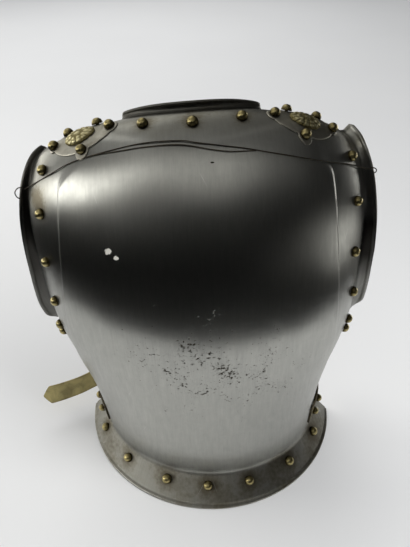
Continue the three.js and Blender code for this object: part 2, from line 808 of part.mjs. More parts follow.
function ribbonGeometry(stations, side) {
  const points = [];
  const faces = [];
  for (const { middle, wide, thick, width } of stations) {
    for (const [w, t] of [[-1, -1], [1, -1], [1, 1], [-1, 1]]) {
      const corner = middle.clone().addScaledVector(wide, w * width / 2);
      points.push(corner.addScaledVector(thick, t * BELT.thickness / 2));
    }
  }
  for (let n = 0; n < stations.length - 1; n += 1) {
    for (let c = 0; c < 4; c += 1) {
      const [a, b] = [4 * n + c, 4 * n + (c + 1) % 4];
      faces.push([a, b, b + 4], [a, b + 4, a + 4]);
    }
  }
  const last = 4 * (stations.length - 1);
  faces.push([2, 1, 0], [3, 2, 0], [last, last + 1, last + 2], [last, last + 2, last + 3]);
  if (side < 0) faces.forEach((face) => face.reverse());
  return bodyFrom(points, faces);
}

const beltRivetPlaces = (side) => BELT_RIVET_ANGLES.map((angle) => frameAt(BELT.v, side * angle));

function tongueGeometry() {
  const stations = strapStations(
    -1,
    TONGUE_ROUTE,
    TONGUE_STATIONS,
    TONGUE_TIP_WIDTH,
    TONGUE_ROLL,
  );
  const tools = beltRivetPlaces(-1).map((place) => holeTool(place, HOLE_RADIUS));
  return cut(ribbonGeometry(stations, -1), tools);
}

function buckleStrapGeometry() {
  const tools = beltRivetPlaces(1).map((place) => holeTool(place, HOLE_RADIUS));
  const slot = new THREE.BoxGeometry(PRONG_SLOT.x, PRONG_SLOT.y, PRONG_SLOT.z);
  tools.push(slot.translate(BUCKLE.x + PRONG_SLOT.ahead, BUCKLE.barY + PRONG_SLOT.beyond, BUCKLE.z));
  const stations = strapStations(1, STRAP_ROUTE, STRAP_STATIONS, BELT.width);
  return cut(ribbonGeometry(stations, 1), tools);
}

function buckleGeometry() {
  const { halfWidth, length, bar, outerCorner, innerCorner, prong } = BUCKLE;
  const eye = { width: length - 2 * bar, height: 2 * (halfWidth - bar) };
  const frame = roundedRectangle(-bar / 2, -halfWidth, length, 2 * halfWidth, outerCorner);
  frame.holes.push(roundedRectangle(bar / 2, bar - halfWidth, eye.width, eye.height, innerCorner));
  const curveSegments = BUCKLE.cornerSegments;
  const body = new THREE.ExtrudeGeometry(frame, { depth: bar, bevelEnabled: false, curveSegments });
  const upright = new THREE.Matrix4().makeBasis(
    new THREE.Vector3(0, 1, 0),
    new THREE.Vector3(0, 0, 1),
    new THREE.Vector3(1, 0, 0),
  );
  upright.setPosition(BUCKLE.x - bar / 2, BUCKLE.barY, BUCKLE.z);
  body.applyMatrix4(upright);
  const reach = length - bar / 2;
  const rise = bar / 2 + PRONG_SEAT * prong;
  const pin = new THREE.CylinderGeometry(prong, prong, reach, BUCKLE.prongSides);
  pin.rotateZ(-Math.atan2(rise, reach));
  pin.translate(BUCKLE.x + rise / 2, BUCKLE.barY + reach / 2 - BUCKLE.prongSink, BUCKLE.z);
  return join(body, pin);
}

function roundedRectangle(x, y, width, height, radius) {
  const shape = new THREE.Shape();
  shape.moveTo(x + radius, y);
  shape.lineTo(x + width - radius, y);
  shape.quadraticCurveTo(x + width, y, x + width, y + radius);
  shape.lineTo(x + width, y + height - radius);
  shape.quadraticCurveTo(x + width, y + height, x + width - radius, y + height);
  shape.lineTo(x + radius, y + height);
  shape.quadraticCurveTo(x, y + height, x, y + height - radius);
  shape.lineTo(x, y + radius);
  shape.quadraticCurveTo(x, y, x + radius, y);
  return shape;
}

// ---- hanging wire ----

// Steps follow the route's points, which stand close together round the hooks.
class WireRoute extends THREE.CatmullRomCurve3 {
  getUtoTmapping(u) {
    return u;
  }
}

// Points over the rim of an armhole flange and down behind it, from the plate outwards.
function hookRoute(side) {
  const row = { v: WIRE.hook };
  const edge = armEdgeFrame(row, side);
  const flange = armFlange(row, side);
  const [middle, rim] = flangePoints(edge.point, edge.off, edge.normal, flange);
  const out = rim.clone().sub(middle).normalize();
  const face = edge.normal.clone().multiplyScalar(Math.cos(flange.turn));
  face.addScaledVector(edge.off, -Math.sin(flange.turn));
  const clear = WIRE.radius + WIRE.clearance;
  const at = (along, above) => rim.clone().addScaledVector(out, along).addScaledVector(face, above);
  const front = ARM_BEAD - SHEET / 2 + clear;
  const back = -ARM_BEAD - SHEET / 2 - clear;
  const far = 2 * ARM_BEAD;
  return [
    at(-ARM_BEAD / 2, front + WIRE.cornering / 3),
    at(ARM_BEAD, front),
    at(far + clear / 4, front - WIRE.cornering),
    at(far + clear, -SHEET / 2),
    at(far + clear / 4, back + WIRE.cornering),
    at(ARM_BEAD, back),
    at(-ARM_BEAD / 2, back - WIRE.cornering / 3),
  ];
}

function wireGeometry(points) {
  const circle = [];
  for (let n = 0; n < WIRE.sides; n += 1) {
    const turn = 2 * Math.PI * n / WIRE.sides;
    circle.push(new THREE.Vector2(WIRE.radius * Math.cos(turn), WIRE.radius * Math.sin(turn)));
  }
  const extrudePath = new WireRoute(points);
  const steps = WIRE.stepsPerPoint * (points.length - 1);
  return new THREE.ExtrudeGeometry(new THREE.Shape(circle), { steps, extrudePath, bevelEnabled: false });
}

function laidWire(route) {
  return route.map(({ v, angle }) => {
    const { point, normal } = frameAt(v, angle);
    return point.addScaledVector(normal, WIRE.lift);
  });
}

// ---- the whole ----

function armRivetPlaces(side) {
  return ARM_RIVETS.map((row) => frameAt(row.v, side * row[sideName(side)]));
}

function plateGeometry() {
  const blank = thicken(sheetFace(), SHEET, BEAD_STEPS);
  blank.computeBoundingBox();
  const trim = new THREE.BoxGeometry(TRIM_BLOCK.width, TRIM_BLOCK.width, TRIM_BLOCK.height);
  trim.translate(0, 0, blank.boundingBox.min.z + FOOT_TRIM - TRIM_BLOCK.height / 2);
  const riveted = [
    ...NECK_RIVETS.map(({ v, angle }) => frameAt(v, angle)),
    ...SKIRT_RIVET_ANGLES.map((angle) => skirtFrame(SKIRT_RIVET_DOWN, angle)),
  ];
  for (const side of [-1, 1]) {
    riveted.push(...armRivetPlaces(side), ...beltRivetPlaces(side), patchPlace(side, 0, 0));
    riveted.push(...PATCH_RIVETS.map(({ across, up }) => patchPlace(side, across, up)));
  }
  const tools = riveted.map((place) => holeTool(place, HOLE_RADIUS));
  for (const side of [-1, 1]) {
    const place = skirtFrame(SKIRT_HOLE.down, side * SKIRT_HOLE.angle);
    const tool = new THREE.CylinderGeometry(SKIRT_HOLE.halfWidth, SKIRT_HOLE.halfWidth, 12, 8);
    tool.scale(1, 1, SKIRT_HOLE.halfLength / SKIRT_HOLE.halfWidth);
    tools.push(seated(tool, place));
  }
  return cut(blank, [...tools, trim]);
}

const cuirass = new THREE.Group();

function addPiece(name, geometry, material) {
  const mesh = new THREE.Mesh(geometry, material);
  mesh.name = name;
  cuirass.add(mesh);
  return mesh;
}

function addRivets(name, places, packing) {
  places.forEach((place, n) => {
    seat(addPiece(`${name}_${n + 1}`, rivetGeometry(packing), brass()), place, packing);
  });
}

addPiece('back_plate', plateGeometry(), steel());
addRivets('rivet_neck', NECK_RIVETS.map(({ v, angle }) => frameAt(v, angle)), 0);
addRivets('rivet_skirt', SKIRT_RIVET_ANGLES.map((angle) => skirtFrame(SKIRT_RIVET_DOWN, angle)), 0);
for (const side of [-1, 1]) {
  const name = sideName(side);
  addRivets(`rivet_arm_${name}`, armRivetPlaces(side), 0);
  addPiece(`shoulder_patch_${name}`, patchGeometry(side), darkSteel());
  const lobes = PATCH_RIVETS.map(({ across, up }) => patchPlace(side, across, up));
  addRivets(`rivet_patch_${name}`, lobes, PATCH.lift + PATCH.thickness);
  addPiece(`rosette_${name}`, rosetteGeometry(side), brass());
  addRivets(`strap_rivet_${name}`, beltRivetPlaces(side), BELT.lift + BELT.thickness);
}
addPiece('belt_tongue', tongueGeometry(), leather());
addPiece('buckle_strap', buckleStrapGeometry(), leather());
addPiece('buckle', buckleGeometry(), brass());
const upperWire = [...hookRoute(-1).reverse(), ...laidWire(WIRE_UPPER), ...hookRoute(1)];
addPiece('wire_upper', wireGeometry(upperWire), iron());
addPiece('wire_lower', wireGeometry(laidWire(WIRE_LOWER)), iron());

// The origin is the middle of the whole piece's outline, on the surface that it stands on.
const outlineBox = new THREE.Box3().setFromObject(cuirass);
const middleOf = outlineBox.getCenter(new THREE.Vector3());
cuirass.position.set(-middleOf.x, -middleOf.y, -outlineBox.min.z);

export default cuirass;
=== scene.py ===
# %% [markdown]
# # The back plate of a cavalry cuirass, dressed for a studio picture
#
# A cuirass is two steel shells, one for the chest and one for the back. This file dresses the back
# shell. It was forged from one sheet, raised a little inside a border band, and its edges were
# turned outwards round the arms and the neck. Brass rivets, a scalloped patch on each shoulder
# with an embossed rosette, a stump of the waist belt, a buckle and a length of iron wire finish it.
#
# Each step below has a few words for a reader who is learning Blender, and then short cells that
# build one piece or one finish and print what they made. Sizes are written in millimetres, as a
# maker would, and turned into metres once, where a mesh is built.

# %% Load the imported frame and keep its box
import json
import math

import bpy
import numpy as np
from mathutils import Matrix, Vector

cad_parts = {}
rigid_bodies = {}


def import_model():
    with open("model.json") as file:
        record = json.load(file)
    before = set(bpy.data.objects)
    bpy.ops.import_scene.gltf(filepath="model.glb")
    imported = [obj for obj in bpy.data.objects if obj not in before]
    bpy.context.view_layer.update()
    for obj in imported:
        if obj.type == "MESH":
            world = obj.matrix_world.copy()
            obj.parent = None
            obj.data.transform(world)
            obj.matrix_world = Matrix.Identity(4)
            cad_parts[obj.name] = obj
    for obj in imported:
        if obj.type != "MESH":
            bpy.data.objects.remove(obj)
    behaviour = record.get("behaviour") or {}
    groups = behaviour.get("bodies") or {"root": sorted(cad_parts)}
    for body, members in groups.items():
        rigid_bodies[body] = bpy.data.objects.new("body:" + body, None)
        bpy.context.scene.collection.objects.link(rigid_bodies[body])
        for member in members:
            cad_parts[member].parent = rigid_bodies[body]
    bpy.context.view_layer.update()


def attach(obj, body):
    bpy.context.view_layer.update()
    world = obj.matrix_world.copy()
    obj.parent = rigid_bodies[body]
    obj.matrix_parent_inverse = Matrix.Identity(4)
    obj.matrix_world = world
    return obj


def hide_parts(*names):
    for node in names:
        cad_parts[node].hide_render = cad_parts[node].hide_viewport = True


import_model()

# %% [markdown]
# ## The camera
#
# A camera is set first, because everything after it is judged through it. The lens is a normal
# one of 45 mm, and it looks down at the plate's back from about 0.7 m above the table. Its
# direction is given by its own axes, so no angle has to be guessed from a rotation.

# %% Camera
CAMERA_AT = Vector((0.02657, -0.60860, 0.68262))
CAMERA_RIGHT = Vector((0.99961, 0.02751, 0.00441))
CAMERA_UP = Vector((-0.01920, 0.56520, 0.82473))
LENS_MM = 44.94


def camera_matrix(place, right, up):
    """Where a camera stands and how it is turned; it looks along its own -Z, with +Y up."""
    back = right.cross(up).normalized()
    up = back.cross(right).normalized()
    turn = Matrix((right.normalized(), up, back)).transposed().to_4x4()
    return Matrix.Translation(place) @ turn


scene = bpy.context.scene
camera = bpy.data.objects.new("camera", bpy.data.cameras.new("camera"))
camera.data.lens = LENS_MM
camera.data.sensor_width = 36
camera.data.clip_start = 0.01
camera.data.clip_end = 50
camera.matrix_world = camera_matrix(CAMERA_AT, CAMERA_RIGHT, CAMERA_UP)
scene.collection.objects.link(camera)
scene.camera = camera
print("camera at", tuple(round(x, 3) for x in camera.location), "lens", LENS_MM, "mm")

# %% [markdown]
# ## Small tools
#
# Colours are easiest to choose as the hex codes that paint programs show, but shaders count in
# linear light. One function turns the first into the second. Another adds a node to a tree,
# sets it and links it in one line, so that a material reads from top to bottom as a recipe.

# %% Colour and node helpers
def linear(code):
    """Turns an sRGB hex code such as 8d8d8b into linear red, green, blue and alpha."""
    channels = [int(code[i:i + 2], 16) / 255 for i in (0, 2, 4)]
    curve = [c / 12.92 if c <= 0.04045 else ((c + 0.055) / 1.055) ** 2.4 for c in channels]
    return (*curve, 1.0)


def per_metre(size_mm):
    """The scale that gives a pattern lumps, threads or cells of one size in millimetres."""
    return 1000 / size_mm


def add(tree, kind, inputs=None, **settings):
    """Adds a node, sets it and fills its inputs: a node or socket is linked, a value is written."""
    node = tree.nodes.new(kind)
    for name, value in settings.items():
        setattr(node, name, value)
    for socket, source in (inputs or {}).items():
        if isinstance(source, bpy.types.Node):
            source = next(out for out in source.outputs if out.enabled)
        if isinstance(source, bpy.types.NodeSocket):
            tree.links.new(source, node.inputs[socket])
        else:
            node.inputs[socket].default_value = source
    return node


MATH, MIX, RANGE = "ShaderNodeMath", "ShaderNodeMix", "ShaderNodeMapRange"
NOISE, CELLS, MAPPING = "ShaderNodeTexNoise", "ShaderNodeTexVoronoi", "ShaderNodeMapping"
BUMP, XYZ = "ShaderNodeBump", "ShaderNodeCombineXYZ"


# %% Mesh helpers
def new_object(name, points_mm, faces, material=None, edges=()):
    """Makes an object from points in millimetres in the maker's frame; its place is in its mesh."""
    mesh = bpy.data.meshes.new(name)
    mesh.from_pydata(((np.asarray(points_mm) + SHIFT_MM) / 1000).tolist(), list(edges), faces)
    mesh.update()
    made = bpy.data.objects.new(name, mesh)
    scene.collection.objects.link(made)
    if material:
        mesh.materials.append(material)
    return made


def finish_piece(piece, slot, *nodes, sharp=40):
    """Smooths a piece except at its sharp edges, and ties it to the frame in place of CAD nodes."""
    mesh = piece.data
    mesh.polygons.foreach_set("use_smooth", [True] * len(mesh.polygons))
    mesh.set_sharp_from_angle(angle=math.radians(sharp))
    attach(piece, "root")
    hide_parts(*nodes)
    print(piece.name, len(mesh.vertices), "points, stands for", len(nodes), "node(s)")
    return piece


# %% [markdown]
# ## The plate's form
#
# A hammered shell has no drawing with circles in it, but it has a rule. Every rib across the back
# is an arc that swells between a circle and a squarish curve, and its measures change slowly from
# waist to shoulder. Eight ribs in a table and a smooth curve through each column give every point
# in between. A last step leans and twists the shell a little, as an old plate has settled. The
# same rule made the frame's solid, so this surface lies on it, apart from a crisper crease.

# %% Measures of the shell, in millimetres
SHIFT_MM = np.array((19.1305, 57.2685, 0.9931))   # from the maker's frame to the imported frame
SHEET = 2.0

RIB_COLUMNS = ("v", "back_z", "back_depth", "half_width", "side_y", "side_z", "power")
RIBS = (
    (0.00, 31, 131, 136, 2, 31, 2.00),
    (0.18, 125, 141, 151, 6, 104, 2.00),
    (0.36, 219, 143, 174, 5, 175, 2.10),
    (0.52, 305, 123, 182, 5, 239, 2.20),
    (0.67, 379, 85, 188, 8, 290, 2.25),
    (0.80, 422, 48, 186, 13, 322, 2.20),
    (0.91, 434, 22, 181, 22, 341, 2.15),
    (1.00, 427, 6, 177, 30, 353, 2.05),
)
SIDE_EDGE = (
    (0.00, 88), (0.18, 86), (0.28, 82), (0.38, 77), (0.50, 73.5),
    (0.64, 70), (0.78, 68), (0.90, 65), (1.00, 63),
)
LEAN, SAG, TWIST_DEGREES, TWIST_AXIS_Y, LEAN_HEIGHT = 18, 0.055, 4, -60, 400
NECK_V, NECK_HALF_WIDTH, NECK_DEPTH, SHEET_LENGTH = 0.905, 75, 44.6, 470
BORDER, FIELD_RISE, ARM_RAMP, NECK_RAMP = 56, 1.6, 4.2, 14
RAMP_DIES = {"from_v": 0.71, "over_v": 0.06, "widens": 24}
SKIRT_HALF_WIDTH, SKIRT_SIDE_Y, SKIRT_DEPTH, SKIRT_EDGE_Z = 156, 11, 158, 2.5


# %% Smooth columns of a table
def natural_spline(knots, heights):
    """A smooth curve through a table column, straight at both ends."""
    knots, heights = np.asarray(knots, float), np.asarray(heights, float)
    n = len(knots)
    system, load = np.eye(n), np.zeros(n)
    for i in range(1, n - 1):
        before, after = knots[i] - knots[i - 1], knots[i + 1] - knots[i]
        system[i, i - 1:i + 2] = before, 2 * (before + after), after
        rise = (heights[i + 1] - heights[i]) / after - (heights[i] - heights[i - 1]) / before
        load[i] = 6 * rise
    bend = np.linalg.solve(system, load)

    def curve(v):
        v = np.asarray(v, float)
        k = np.clip(np.searchsorted(knots, v, side="left") - 1, 0, n - 2)
        h = knots[k + 1] - knots[k]
        a, b = knots[k + 1] - v, v - knots[k]
        bent = (bend[k] * a ** 3 + bend[k + 1] * b ** 3) / (6 * h)
        low = (heights[k] / h - bend[k] * h / 6) * a
        high = (heights[k + 1] / h - bend[k + 1] * h / 6) * b
        return bent + low + high

    return curve


rib_knots = [row[0] for row in RIBS]
rib = {name: natural_spline(rib_knots, [row[k] for row in RIBS])
       for k, name in enumerate(RIB_COLUMNS)}
side_edge = natural_spline(*zip(*SIDE_EDGE))
print("half width of the shell at v = 0.5:", round(float(rib["half_width"](0.5)), 1), "mm")


# %% Points on the outer face
def smooth_step(x):
    """0 below zero, 1 above one, and a soft S between."""
    x = np.clip(x, 0, 1)
    return x * x * (3 - 2 * x)


def signed_power(x, p):
    """A power that keeps the sign, which squares off a circle's cosine and sine."""
    return np.sign(x) * np.abs(x) ** p


def form_point(v, angle):
    """The true form, before it settled; v runs from waist to shoulder, angle from the spine."""
    turn = np.radians(angle)
    exponent = 2 / rib["power"](v)
    across = signed_power(np.sin(turn), exponent)
    round_ = 1 - signed_power(np.cos(turn), exponent)
    back_y, back_z = -rib["back_depth"](v), rib["back_z"](v)
    x = rib["half_width"](v) * across
    y = back_y + (rib["side_y"](v) - back_y) * round_
    z = back_z + (rib["side_z"](v) - back_z) * round_
    return np.stack(np.broadcast_arrays(x, y, z), -1)


def settle(p):
    """Leans, twists and sags the true form."""
    h = p[..., 2] / LEAN_HEIGHT
    turn = math.radians(TWIST_DEGREES) * h
    y = p[..., 1] - TWIST_AXIS_Y
    return np.stack((
        p[..., 0] * np.cos(turn) - y * np.sin(turn) - LEAN * h,
        p[..., 0] * np.sin(turn) + y * np.cos(turn) + TWIST_AXIS_Y,
        p[..., 2] + SAG * p[..., 0] * h * h,
    ), -1)


def neck_angle(v):
    """Angle of the neck's edge on a rib near the shoulder."""
    down = np.clip((1 - v) / (1 - NECK_V), 0, 1)
    share = NECK_HALF_WIDTH * np.sqrt(1 - down * down) / rib["half_width"](v)
    return np.degrees(np.arcsin(share ** (rib["power"](v) / 2)))


def edge_distances(v, angle):
    """Distance to the armhole edge and to the neck edge, along the sheet."""
    p = form_point(v, angle)
    side = np.where(np.asarray(angle) < 0, -1, 1)
    arm = np.linalg.norm(p - form_point(v, side * side_edge(v)), axis=-1)
    along = (1 - v) * SHEET_LENGTH
    ratio = np.hypot(p[..., 0] / NECK_HALF_WIDTH, along / NECK_DEPTH)
    neck = np.hypot(p[..., 0], along) * (1 - 1 / np.maximum(ratio, 1))
    return arm, neck


def field_rise(v, angle):
    """Height of the raised field; its crease beside the armhole dies away towards the shoulder."""
    arm, neck = edge_distances(v, angle)
    ramp = ARM_RAMP + RAMP_DIES["widens"] * smooth_step((v - RAMP_DIES["from_v"]) / RAMP_DIES["over_v"])
    return FIELD_RISE * smooth_step((arm - BORDER) / ramp) * smooth_step((neck - BORDER) / NECK_RAMP)


def unit(a):
    """Vectors of length one in the same directions."""
    return a / np.linalg.norm(a, axis=-1, keepdims=True)


def frame_at(v, angle):
    """Point, outward normal, unit directions across (to the right) and up, and mm per degree."""
    v, angle = np.broadcast_arrays(np.asarray(v, float), np.asarray(angle, float))
    step, turn = 1e-3, 0.1
    low, high = np.maximum(v - step, 0), np.minimum(v + step, 1)
    across = settle(form_point(v, angle + turn)) - settle(form_point(v, angle - turn))
    up = settle(form_point(high, angle)) - settle(form_point(low, angle))
    normal = unit(np.cross(across, up))
    point = settle(form_point(v, angle)) + normal * field_rise(v, angle)[..., None]
    per_degree = np.linalg.norm(across, axis=-1) / (2 * turn)
    per_v = np.linalg.norm(up, axis=-1) / (high - low)
    return {"point": point, "normal": normal, "across": unit(across), "up": unit(up),
            "per_degree": per_degree, "per_v": per_v}


def skirt_point(down, angle):
    """The skirt's outer face; down runs from 0 at the fold to 1 at the foot."""
    turn = np.radians(angle)
    edge = np.stack(np.broadcast_arrays(
        SKIRT_HALF_WIDTH * np.sin(turn),
        SKIRT_SIDE_Y - (SKIRT_DEPTH + SKIRT_SIDE_Y) * np.cos(turn),
        SKIRT_EDGE_Z + 0 * turn,
    ), -1)
    fold = form_point(0 * turn, angle)
    return settle(fold + (edge - fold) * np.asarray(down)[..., None])


def skirt_frame(down, angle):
    """Point, normal and unit directions across and up on the skirt."""
    down, angle = np.broadcast_arrays(np.asarray(down, float), np.asarray(angle, float))
    across = unit(skirt_point(down, angle + 0.1) - skirt_point(down, angle - 0.1))
    up = unit(skirt_point(down - 0.05, angle) - skirt_point(down + 0.05, angle))
    return {"point": skirt_point(down, angle), "normal": unit(np.cross(across, up)),
            "across": across, "up": up}


print("middle of the back at v = 0.36:", np.round(frame_at(0.36, 0)["point"] + SHIFT_MM, 1), "mm")

# %% [markdown]
# ## The shell as one closed mesh
#
# The sheet is laid out as rows up the back and columns from the spine to the armhole, so that the
# crease of the raised field, the turned flanges and the rolled rims all run along the net and stay
# crisp. The outer net is copied two millimetres inwards and the two are joined round the rim by a
# half-round bead. A rule like this is easier to write in plain numbers than in a node tree, which
# is kept for the pieces that repeat.

# %% Rows and columns of the net
SKIRT_ROWS = 12
BACK_ROWS = 112
NECK_ROWS = 26
FIELD_COLUMNS = 62
RAMP_COLUMNS = 8
BORDER_COLUMNS = 20
FLANGE_COLUMNS = 9
BEAD_STEPS = 9
LIP, PLAIN_RIM, SKIRT_BEAD = 2.0, 1.05, 2.2
ARM_BEAD, ARM_TURN = 2.4, math.radians(80)
FLANGE_START, FLANGE_RUN, TURN_RUN = {-1: 0.305, 1: 0.35}, 0.12, 0.06
FLANGE_WIDTHS = {                                 # v, left and right width
    -1: ((0.40, 18.5), (0.55, 13.5), (0.70, 8), (0.85, 5), (1.00, 3)),
    1: ((0.40, 14), (0.55, 15.5), (0.70, 11), (0.85, 10.5), (1.00, 13.5)),
}
# A painted shade darkens the hollows of the armhole flanges and of the collar.
FLANGE_PAINTED_SHADE = {                                   # v, and how dark the painted shade in the left and right hollow is
    -1: ((0.36, 0.75), (0.45, 0.85), (0.52, 0.95), (0.75, 0.95), (0.82, 0.85), (1.00, 0.8)),
    1: ((0.38, 0.4), (0.46, 0.55), (0.53, 1.0), (0.62, 1.0), (0.67, 0.15), (0.82, 0.1), (1.00, 0.2)),
}
# How dark the painted shade in the collar's hollow is.
COLLAR_PAINTED_SHADE = 0.78
HOLLOW_COLUMNS = 2.5                              # how many columns the painted shade takes to reach full
NECK_FLANGE_HEIGHT, NECK_FLANGE_TURN, NECK_BEAD = 8, math.radians(75), 1.9
COLLAR_DIES = {"from_turn": 1.25, "over_turn": 0.32}
FOOT_TRIM = 0.9                                   # how much of the skirt's bead is worn flat
HALVINGS = 28


def border_angle(v, width):
    """The angle on each rib at which the border band begins, found by halving."""
    edge = form_point(v, side_edge(v))
    low, high = np.zeros_like(v), side_edge(v)
    for _ in range(HALVINGS):
        middle = (low + high) / 2
        outside = np.linalg.norm(form_point(v, middle) - edge, axis=-1) > width
        low, high = np.where(outside, middle, low), np.where(outside, high, middle)
    return low


def net_rows():
    """Down on the skirt, v on the back, and the turn round the neck's arc beside it."""
    down = np.concatenate((np.linspace(1, 0, SKIRT_ROWS, endpoint=False),
                           np.zeros(BACK_ROWS + NECK_ROWS + 1)))
    turn = np.linspace(0, np.pi / 2, NECK_ROWS + 1)
    v = np.concatenate((np.zeros(SKIRT_ROWS), np.linspace(0, NECK_V, BACK_ROWS, endpoint=False),
                        1 - (1 - NECK_V) * np.cos(turn)))
    return down, v, np.concatenate((np.full(SKIRT_ROWS + BACK_ROWS, -1.0), turn))


def net_angles(v, neck_turn):
    """Angles of the columns on every row, from the spine or the neck edge to the side edge."""
    start = np.where(neck_turn < 0, 0, neck_angle(v))
    ramp_top, ramp_foot = border_angle(v, BORDER + ARM_RAMP), border_angle(v, BORDER)
    stretches = (
        (start, ramp_top, np.linspace(0, 1, FIELD_COLUMNS, endpoint=False)),
        (ramp_top, ramp_foot, np.linspace(0, 1, RAMP_COLUMNS, endpoint=False)),
        (ramp_foot, side_edge(v), np.linspace(0, 1, BORDER_COLUMNS + 1)),
    )
    return np.concatenate([a[:, None] + (b - a)[:, None] * share for a, b, share in stretches], 1)


down, row_v, neck_turn = net_rows()
columns = net_angles(row_v, neck_turn)
print("rows and columns of half the net:", columns.shape)


# %% Flanges
BEND_HASTE = 1.25                                 # above 1, the bend is done before the rim


def flange_strip(root, off, normal, width, turn, steps):
    """A sheet edge bent up smoothly from its root to its rim, as points row by row."""
    share = (np.arange(steps) + 0.5) / steps
    bend = turn[:, None] * smooth_step(share * BEND_HASTE)
    step = (width / steps)[:, None, None]
    heading = (np.cos(bend)[..., None] * off[:, None] + np.sin(bend)[..., None] * normal[:, None])
    return root[:, None] + np.cumsum(heading * step, axis=1)


def off_edge(along, normal, towards):
    """Unit directions that lead off an edge within the sheet, on the side of a given direction."""
    off = unit(np.cross(along, normal))
    return off * np.sign((off * towards).sum(-1))[:, None]


def arm_flange(side):
    """Points of an armhole flange and its rim radii; its lower end is round, like a leaf's."""
    run = np.clip((row_v - FLANGE_START[side]) / FLANGE_RUN, 0, 1) * (down == 0)
    full = smooth_step((row_v - FLANGE_START[side]) / TURN_RUN) * (down == 0)
    width = LIP + (np.interp(row_v, *zip(*FLANGE_WIDTHS[side])) - LIP) * np.sqrt(1 - (1 - run) ** 2)
    bead = PLAIN_RIM + (ARM_BEAD - PLAIN_RIM) * full
    edge = side * side_edge(row_v)
    place, skirt = frame_at(row_v, edge), skirt_frame(down, edge)
    low, high = np.maximum(row_v - 0.002, 0), np.minimum(row_v + 0.002, 1)
    along = settle(form_point(high, side * side_edge(high)))
    along = along - settle(form_point(low, side * side_edge(low)))
    off = off_edge(along, place["normal"], side * place["across"])
    below = (down > 0)[:, None]
    root = np.where(below, skirt["point"], place["point"])
    normal = np.where(below, skirt["normal"], place["normal"])
    off = np.where(below, side * skirt["across"], off)
    return flange_strip(root, off, normal, width, ARM_TURN * full, FLANGE_COLUMNS), bead


def neck_flange(side):
    """The collar, for the rows beside the neck only."""
    turn = neck_turn[neck_turn >= 0]
    full = 1 - smooth_step((turn - COLLAR_DIES["from_turn"]) / COLLAR_DIES["over_turn"])

    def at(t):
        v = 1 - (1 - NECK_V) * np.cos(t)
        return settle(form_point(v, side * neck_angle(v)))

    v = 1 - (1 - NECK_V) * np.cos(turn)
    place = frame_at(v, side * neck_angle(v))
    along = at(np.minimum(turn + 0.03, np.pi / 2)) - at(np.maximum(turn - 0.03, 0))
    along[0] = at(0.05) - at(0.0)
    towards = settle(form_point(1.0, 0.0)) - place["point"]
    off = off_edge(along, place["normal"], towards)
    width = LIP + (NECK_FLANGE_HEIGHT - LIP) * full
    strip = flange_strip(place["point"], off, place["normal"], width, NECK_FLANGE_TURN * full,
                         FLANGE_COLUMNS)
    return strip, PLAIN_RIM + (NECK_BEAD - PLAIN_RIM) * full


# %% [markdown]
# A hammer never leaves a perfect surface. Some slow waves, about a fifth of a millimetre high, bend
# the reflections the way a real hand-planished shell does. They are summed from fixed directions,
# so the plate is the same each time.

# %% Hammered unevenness
WAVES = np.random.default_rng(11)
WAVE_COUNT, SHORTEST_WAVE, LONGEST_WAVE, WAVE_HEIGHT = 26, 38, 120, 0.05
wave_lengths = WAVES.uniform(SHORTEST_WAVE, LONGEST_WAVE, WAVE_COUNT)
wave_turns = WAVES.uniform(0, math.pi, WAVE_COUNT)
wave_phases = WAVES.uniform(0, 2 * math.pi, WAVE_COUNT)
CALM = {"arm": 14, "neck": 12, "fold_v": 0.03}    # the waves die away this near to an edge


def hammering(across_mm, up_mm):
    """Height of the unevenness in millimetres at a place on the sheet."""
    height = np.zeros(np.shape(across_mm))
    for length, turn, phase in zip(wave_lengths, wave_turns, wave_phases):
        along = across_mm * np.cos(turn) + up_mm * np.sin(turn)
        height += length / LONGEST_WAVE * np.sin(2 * np.pi * along / length + phase)
    return WAVE_HEIGHT * height


print("waves:", WAVE_COUNT, "and at the middle they rise", round(float(hammering(0, 200)), 2), "mm")


# %% The outer net
SKIRT_ON_SHEET = 34                               # millimetres of flat sheet in each part
ARM_COLUMN_ON_SHEET, COLLAR_COLUMN_ON_SHEET = 1.6, 1.0


def sheet_measures(v, angle, rows_down):
    """Where a point lies on the flat sheet: millimetres across from the spine and up from the fold."""
    across = rib["half_width"](v) * np.radians(angle)
    return across, v * SHEET_LENGTH - rows_down * SKIRT_ON_SHEET


class Net:
    """Points of the outer face with their rim radii and painted shade, and the squares between them."""

    def __init__(self):
        self.points, self.beads, self.sheet, self.soot, self.squares = [], [], [], [], []
        self.number = {}

    def put(self, key, point, bead, sheet, soot=0.0):
        """Adds a point once; both halves share the keys along the spine."""
        if key not in self.number:
            self.number[key] = len(self.points)
            self.points.append(point)
            self.beads.append(bead)
            self.sheet.append(sheet)
            self.soot.append(soot)


def key_of(side, j, i, neck_row):
    """A key for row j and column i; the spine and the middle of the collar belong to both halves."""
    shared = j <= neck_row if i == 0 else i < 0 and j == neck_row
    return (0 if shared else side, j, i)


